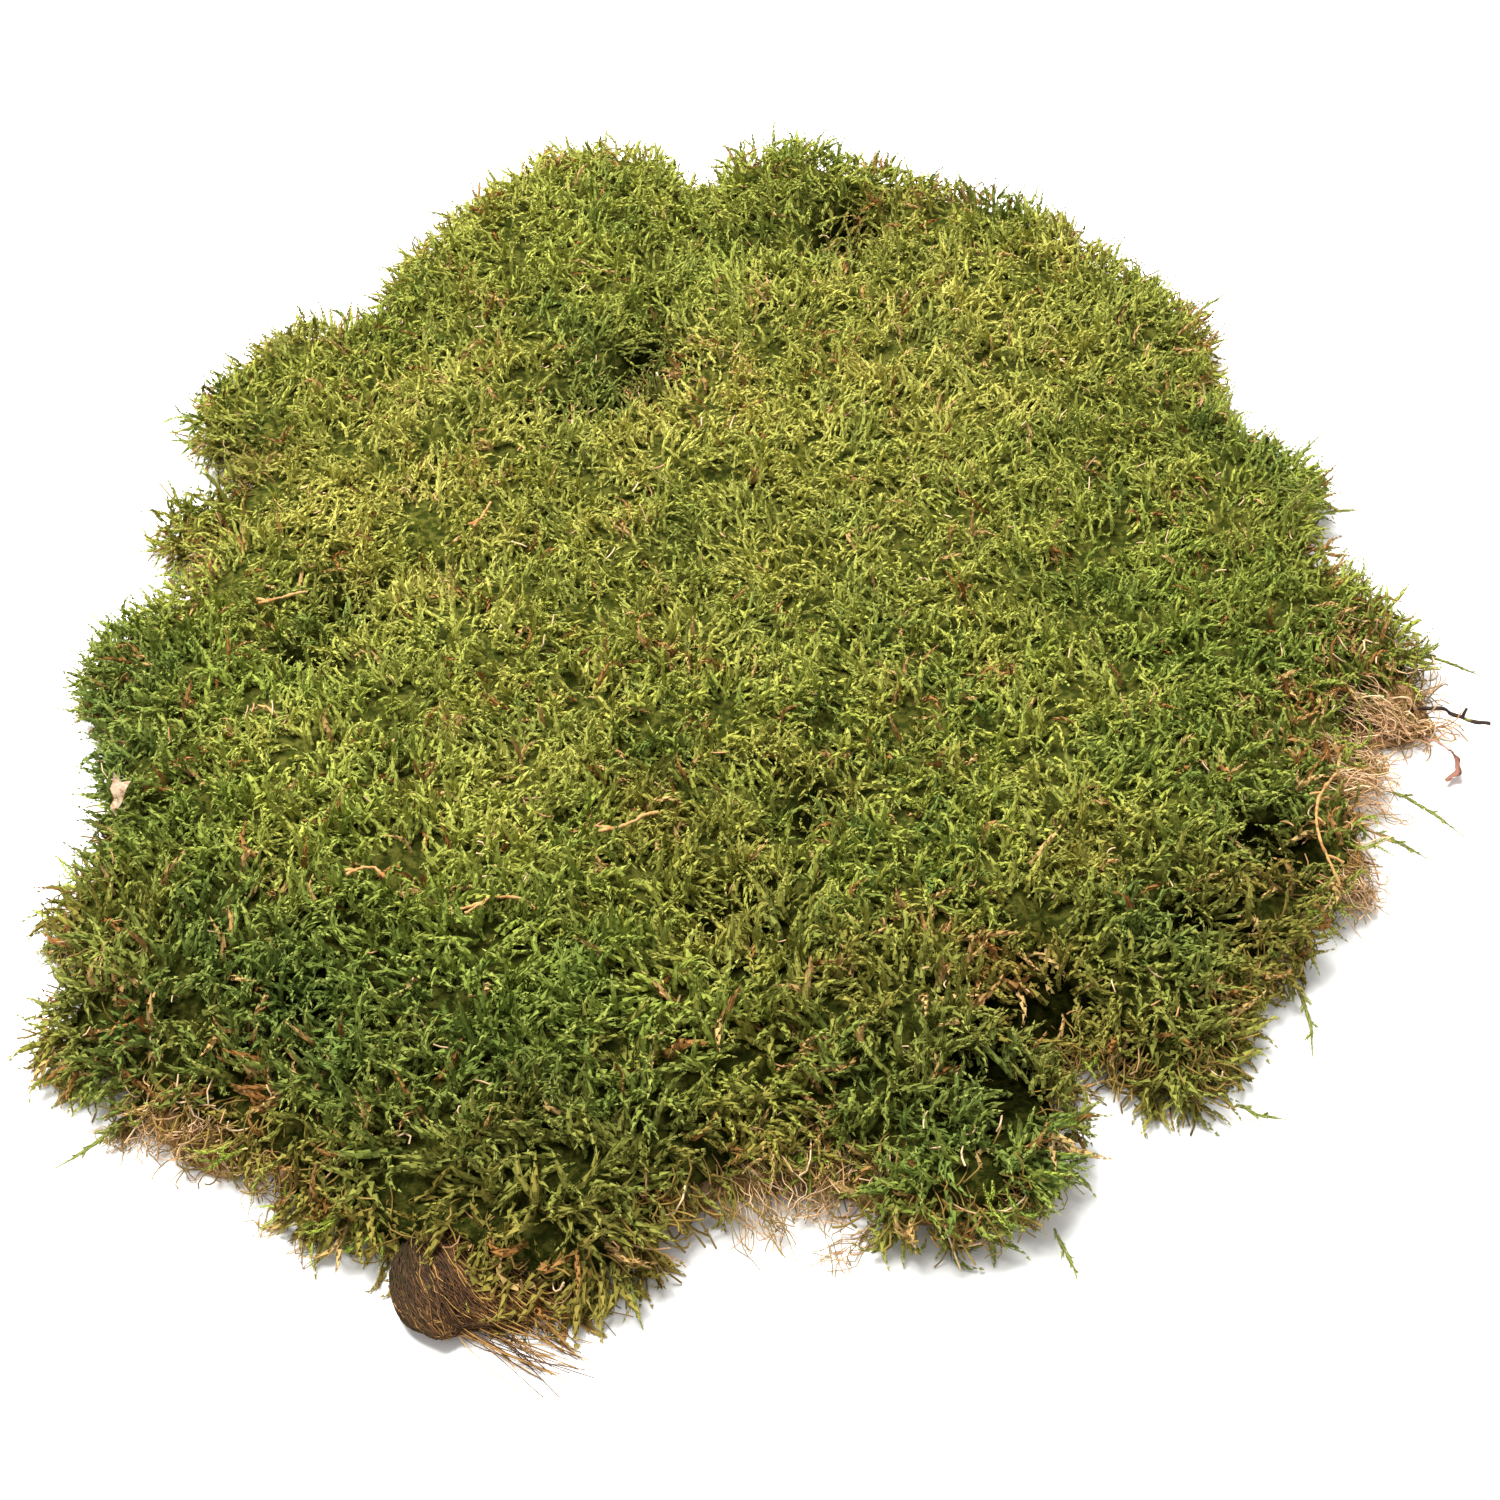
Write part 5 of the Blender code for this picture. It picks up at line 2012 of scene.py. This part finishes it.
    def streams(self, places: Array, faces: list[tuple[int, ...]], normals: Array) -> list[Array]:
        """Paths of rootlets that lie combed along the lump and leave it past its tail.

        Args:
            places: The lump's points.
            faces: Its faces.
            normals: Its normals.

        Returns:
            The paths.
        """
        rng = np.random.default_rng(SEED + 2)
        surface = BVHTree.FromPolygons([Vector(place) for place in places], faces)
        end = self.tail[1]
        found = []
        solid = np.flatnonzero(places[:, 0] < end)
        for start in rng.choice(solid, self.combed_count):
            over = rng.uniform(0.0, 0.7) * MM
            place = places[start] + normals[start] * over
            way = self.combed(place[None], normals[start][None])[0]
            path = [place]
            for _ in range(self.combed_steps):
                place = place + way * self.combed_stride
                if place[0] < end:
                    near, normal = surface.find_nearest(Vector(place))[:2]
                    place = np.array(near + normal * over)
                    way = self.combed(place[None], np.array(normal)[None])[0]
                    way = unit(way + rng.normal(0.0, 0.30, 3))
                else:
                    way = unit(way + np.array([0.0, -0.05, -0.12]) + rng.normal(0.0, 0.25, 3))
                place = np.maximum(place, [-FAR, -FAR, self.rootlet.radius + 0.2 * MM])
                path.append(place)
            found.append(np.array(path))
        return found


@dataclass
class EdgeSprigs:
    """Long leafy shoots that stand out past the edge, each with side shoots."""

    count: int = 14
    short: tuple[int, ...] = (11, 14)  # those that reach less far than their solid
    short_share: float = 0.60  # how much of its length they have
    whorl: Whorl = Whorl(0.62 * MM, 1.9 * MM, 0.16 * MM, opening=15.0)
    spacing: float = 0.70 * MM  # distance between two whorls
    side_step: float = 0.14  # distance between two side shoots, as a share of the shoot
    # Where along the shoot the first and the last side shoot leave
    side_span: tuple[float, float] = (0.12, 0.86)
    side_length: float = 0.22  # length of the longest side shoot as a share of the shoot's
    side_angle: float = 38.0  # how far a side shoot turns away, in degrees
    stem: Strand = Strand(0.15 * MM, sides=4, spacing=2.0 * MM)

    def side_shoots(self, main: Array, rng: np.random.Generator) -> list[Array]:
        """Paths of the side shoots, left and right in turn.

        Args:
            main: The shoot's own path.
            rng: The random numbers.

        Returns:
            The paths.
        """
        length = float(np.linalg.norm(np.diff(main, axis=0), axis=1).sum())
        turn = math.radians(self.side_angle)
        found = []
        share, hand = self.side_span[0], rng.choice([-1.0, 1.0])
        while share < self.side_span[1]:
            index = min(int(share * (len(main) - 1)), len(main) - 2)
            along = unit(main[index + 1] - main[index])
            across = unit(np.cross(along, [0.0, 0.0, 1.0])) * hand
            reach = length * self.side_length * (1.1 - share) * rng.uniform(0.5, 1.2)
            way = np.linspace(0.0, 1.0, 6)[:, None]
            straight = along * math.cos(turn) + across * math.sin(turn)
            rise = np.array([0.0, 0.0, rng.uniform(-0.15, 0.35)])
            curved = way * (straight + rise) + 0.30 * way**2 * (along - straight)
            path = main[index] + reach * curved
            path[:, 2] = np.maximum(path[:, 2], 1.0 * MM)
            found.append(path)
            share += self.side_step * rng.uniform(0.7, 1.4)
            hand = -hand
        return found

    def build(self) -> None:
        """Build every shoot and hand it over."""
        whorl = self.whorl.build("sprig_whorl")
        finish = SPRIG_LEAVES.material()
        for number in range(1, self.count + 1):
            node = f"edge_sprig_{number:02d}"
            rng = np.random.default_rng(SEED + number)
            main = curve_through(centreline(node, 5), 24)
            if number in self.short:
                main = main[: int(self.short_share * len(main))]
            paths = [main, *self.side_shoots(main, rng)]
            tones = list(rng.uniform(0.2, 0.9, len(paths)))
            name = f"leafy_sprig_{number:02d}"
            leaves = run_tree(
                name, path_mesh(name, paths, tone=tones), LEAFY_TREE, Whorl=whorl, Spacing=self.spacing,
                Root_Size=0.7, Tip_Size=0.4
            )
            stems = self.stem.mesh(name + "_stem", paths, tone=tones)
            present(name, joined(name, leaves, stems), finish, "edge_shoots", node)


def joined(name: str, *meshes: Mesh) -> Mesh:
    """Put several meshes into one and remove them.

    Args:
        name: The new mesh's name.
        meshes: The meshes.

    Returns:
        The mesh of them all.
    """
    bm = bmesh.new()
    for mesh in meshes:
        bm.from_mesh(mesh)
        bpy.data.meshes.remove(mesh)
    made = bpy.data.meshes.new(name)
    bm.to_mesh(made)
    bm.free()
    return made


def closed(bm: BMesh, name: str) -> Mesh:
    """Make a mesh of a closed shell, with its triangles facing out.

    Args:
        bm: The shell, which is freed.
        name: The mesh's name.

    Returns:
        The mesh.
    """
    bmesh.ops.recalc_face_normals(bm, faces=bm.faces[:])
    bmesh.ops.triangulate(bm, faces=bm.faces[:])
    made = bpy.data.meshes.new(name)
    bm.to_mesh(made)
    bm.free()
    return made


@dataclass
class Litter:
    """Dead stems, rootlet, twig, leaf and bark that are caught in the clump."""

    stem: Strand = Strand(0.42 * MM, sides=6, spacing=0.7 * MM, root=0.3, tip=0.25, knots=0.3 * MM)
    stems: int = 5
    rootlet: Strand = Strand(0.40 * MM, sides=6, spacing=0.7 * MM, tip=0.3, knots=0.3 * MM)
    twig: Strand = Strand(0.50 * MM, sides=8, spacing=0.7 * MM, root=0.9, tip=0.4, knots=0.30 * MM)
    # Where it starts in the moss, from its solid's near end, in millimetres
    twig_root: tuple[float, float, float] = (-8.0, 1.0, -1.0)
    stalk: Strand = Strand(0.22 * MM, sides=6, spacing=0.8 * MM, root=1.0, tip=0.8, knots=0.05 * MM)
    stalk_share: float = 0.40  # how much of the dead leaf's line is stalk
    # How far the dead leaf lies from its solid, in millimetres
    leaf_shift: tuple[float, float, float] = (-3.5, 3.0, 0.0)
    blade_width: float = 1.6 * MM  # half the dead leaf's width
    blade_thickness: float = 0.14 * MM
    # Middle of the bark flake, in millimetres
    bark_place: tuple[float, float, float] = (-155.0, -90.0, 26.0)
    bark_along: tuple[float, float, float] = (0.05, 0.55, 0.83)  # way it stands
    bark_thickness: float = 0.45 * MM
    # Its torn edge across and along, in millimetres from its middle
    torn_edge: tuple[tuple[float, float], ...] = (
        (-0.5, 5.5), (-1.0, 2.5), (-1.5, 1.5), (-0.5, -1.0), (-1.5, -3.0), (0.0, -5.5), (0.5, -3.5),
        (1.5, -1.5), (0.8, 1.5), (2.5, 1.5), (3.5, 3.5), (1.0, 3.0)
    )

    def build(self) -> None:
        """Build every piece of litter and hand it over."""
        for number in range(1, self.stems + 1):
            self.build_stem(number)
        self.build_rootlet()
        self.build_twig()
        self.build_leaf()
        self.build_bark()

    def build_stem(self, number: int) -> None:
        """Build one dead stem, split at its end.

        Args:
            number: Its number.
        """
        node = f"dead_stem_{number}"
        rng = np.random.default_rng(SEED + 60 + number)
        main = curve_through(centreline(node), 24)
        main[1:-1] += rng.normal(0.0, 0.12 * MM, main[1:-1].shape)
        fork = main[-8:].copy()
        way = np.linspace(0.0, 1.0, len(fork))[:, None]
        side = unit(np.cross(fork[-1] - fork[0], [0.0, 0.0, 1.0]))
        fork += side * way**1.5 * 1.8 * MM
        mesh = self.stem.mesh(node + "_straw", [main, fork])
        present(node + "_straw", mesh, STRAW.material(), "dead_stems", node)

    def build_rootlet(self) -> None:
        """Build the rootlet over the right edge, with three short branches."""
        main = curve_through(centreline("rootlet"), 40)
        paths = [main]
        for index, sideways, length in ((9, 1.0, 2.5), (19, -1.0, 2.2), (31, -1.0, 3.5)):
            along = unit(main[index + 1] - main[index])
            across = np.cross(along, [0.0, 0.0, 1.0]) * sideways
            way = np.linspace(0.0, 1.0, 8)[:, None]
            path = main[index] + (along * 0.6 + across) * way * length * MM
            path[:, 2] -= way[:, 0] ** 2 * 0.8 * MM
            paths.append(path)
        mesh = self.rootlet.mesh("tan_rootlet", paths)
        present("tan_rootlet", mesh, TAN_ROOT.material(), "rootlet", "rootlet")

    def build_twig(self) -> None:
        """Build the twig at the right edge, with a stub on its upper side."""
        line = centreline("dark_twig")
        held = line[0] + np.array(self.twig_root) * MM
        main = curve_through(np.vstack([held, line]), 40)[:-4]
        stub = main[23] + np.linspace(0.0, 1.0, 5)[:, None] * np.array([0.9, 1.2, 2.4]) * MM
        mesh = self.twig.mesh("dark_brown_twig", [main, stub])
        present("dark_brown_twig", mesh, TWIG_BARK.material(), "dark_twig", "dark_twig")

    def build_leaf(self) -> None:
        """Build the dead leaf: a thin curved stalk and a curled blade at its end."""
        line = curve_through(centreline("dead_leaf_curl", 9), 40) + np.array(self.leaf_shift) * MM
        split = int(self.stalk_share * len(line))
        stalk = self.stalk.mesh("leaf_stalk", [line[: split + 2]])
        blade = self.blade(line[split:])
        mesh = joined("curled_dead_leaf", stalk, blade)
        present("curled_dead_leaf", mesh, DEAD_LEAF.material(), "dead_leaf", "dead_leaf_curl")

    def blade(self, line: Array) -> Mesh:
        """Build the curled blade along its rib.

        Args:
            line: The rib.

        Returns:
            The blade, closed and thin.
        """
        bm = bmesh.new()
        rows = []
        for index, place in enumerate(line):
            way = index / (len(line) - 1)
            along = unit(line[min(index + 1, len(line) - 1)] - line[max(index - 1, 0)])
            turn = math.radians(30.0 + 150.0 * way)
            level = unit(np.cross(along, [0.0, 0.0, 1.0]))
            upright = np.cross(level, along)
            across = level * math.cos(turn) + upright * math.sin(turn)
            deep = np.cross(across, along)
            half = self.blade_width * math.sin(math.pi * min(0.06 + 0.92 * way, 1.0)) ** 0.7
            half *= 1.0 + 0.25 * math.sin(way * 21.0)
            row = []
            for step in (-1.0, -0.5, 0.0, 0.5, 1.0):
                curl = half * 0.55 * step**2 + 0.12 * MM * math.sin(way * 17.0 + 3.0 * step)
                row.append(bm.verts.new(Vector(place + across * half * step + deep * curl)))
            rows.append(row)
        for first, second in zip(rows[:-1], rows[1:]):
            for step in range(4):
                bm.faces.new([first[step], first[step + 1], second[step + 1], second[step]])
        bmesh.ops.solidify(bm, geom=bm.faces[:], thickness=self.blade_thickness)
        mesh = closed(bm, "blade")
        mesh.shade_smooth()
        return mesh

    def build_bark(self) -> None:
        """Build the pale flake of bark: a torn strip with an arm and splinters."""
        middle = np.array(self.bark_place) * MM
        along = unit(np.array(self.bark_along))
        across = unit(np.cross([0.0, 1.0, -0.6], along))
        thick = np.cross(along, across)
        bm = bmesh.new()
        rim = [bm.verts.new(Vector(middle + (across * x + along * y) * MM)) for x, y in self.torn_edge]
        bm.faces.new(rim)
        bmesh.ops.triangulate(bm, faces=bm.faces[:])
        bmesh.ops.subdivide_edges(bm, edges=bm.edges[:], cuts=2, use_grid_fill=True)
        for vert in bm.verts:
            bend = field_noise(np.array([vert.co]), 3.0 * MM, 43)[0]
            vert.co += Vector(thick * bend * 0.8 * MM)
        grown = bmesh.ops.extrude_face_region(bm, geom=bm.faces[:])["geom"]
        raised = [part for part in grown if isinstance(part, BMVert)]
        bmesh.ops.translate(bm, verts=raised, vec=Vector(thick * self.bark_thickness))
        mesh = closed(bm, "torn_bark_flake")
        present("torn_bark_flake", mesh, PALE_BARK.material(), "bark", "bark_flake")


# Studio


@dataclass(frozen=True)
class Studio:
    """Pale floor, soft light and the camera."""

    target: tuple[float, float, float] = (-0.003, -0.050, 0.0)  # what the camera looks at
    distance: float = 0.60
    elevation: float = 46.0  # how high it stands, in degrees
    view: float = 36.0  # its field of view, in degrees
    floor_size: float = 12.0
    sky: float = 0.70  # strength of the light from all round
    key: float = 48.0  # power of the lamp above
    key_size: float = 0.7
    key_place: tuple[float, float, float] = (-0.35, 0.25, 1.25)  # where the lamp hangs

    def build(self) -> None:
        """Build the floor, the light and the camera."""
        self.build_floor()
        self.build_light()
        self.build_camera()
        bpy.context.scene.view_settings.view_transform = "Standard"

    def build_floor(self) -> None:
        """Lay the floor."""
        half = self.floor_size / 2
        corners = [(-half, -half, 0.0), (half, -half, 0.0), (half, half, 0.0), (-half, half, 0.0)]
        floor = show("floor", plain_mesh("floor", np.array(corners), [(0, 1, 2, 3)]))
        floor.data.materials.append(PaperFinish().build())

    def build_light(self) -> None:
        """Light the scene softly from all round, with one large lamp above."""
        world = bpy.data.worlds.new("soft_light")
        world.use_nodes = True
        sky = world.node_tree.nodes["Background"]
        sky.inputs["Color"].default_value = (1.0, 1.0, 1.0, 1.0)
        maker = TreeMaker(world.node_tree)
        seen = maker.node("ShaderNodeLightPath").outputs["Is Camera Ray"]
        maker.feed(sky.inputs["Strength"], maker.remap(seen, (0.0, 1.0), (self.sky, 1.0)))
        bpy.context.scene.world = world
        lamp = bpy.data.lights.new("lamp", "AREA")
        lamp.energy = self.key
        lamp.size = self.key_size
        lamp.color = (1.0, 0.985, 0.95)
        hung = bpy.data.objects.new("lamp", lamp)
        hung.location = self.key_place
        aim = Vector(self.target) - Vector(self.key_place)
        hung.rotation_euler = aim.to_track_quat("-Z", "Y").to_euler()
        bpy.context.scene.collection.objects.link(hung)

    def build_camera(self) -> None:
        """Set up the camera."""
        lens = bpy.data.cameras.new("camera")
        lens.sensor_width = 36.0
        lens.lens = 18.0 / math.tan(math.radians(self.view / 2))
        lens.clip_start = 0.01
        camera = bpy.data.objects.new("camera", lens)
        lift = math.radians(self.elevation)
        away = Vector((0.0, -math.cos(lift), math.sin(lift))) * self.distance
        camera.location = Vector(self.target) + away
        camera.rotation_euler = (math.pi / 2 - lift, 0.0, 0.0)
        bpy.context.scene.collection.objects.link(camera)
        bpy.context.scene.camera = camera


def main() -> None:
    """Build every piece of the clump, then the studio."""
    logging.basicConfig(level=logging.INFO, format="%(name)s: %(message)s")
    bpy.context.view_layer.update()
    Studio().build()
    planter = Planter(scatter_tree("scattered_forms"))
    turf = Turf()
    turf.build(planter)
    Thatch().build(planter)
    Fringe().build(turf.bed)
    RootClump().build()
    EdgeSprigs().build()
    Litter().build()
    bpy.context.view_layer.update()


if __name__ == "__main__":
    main()
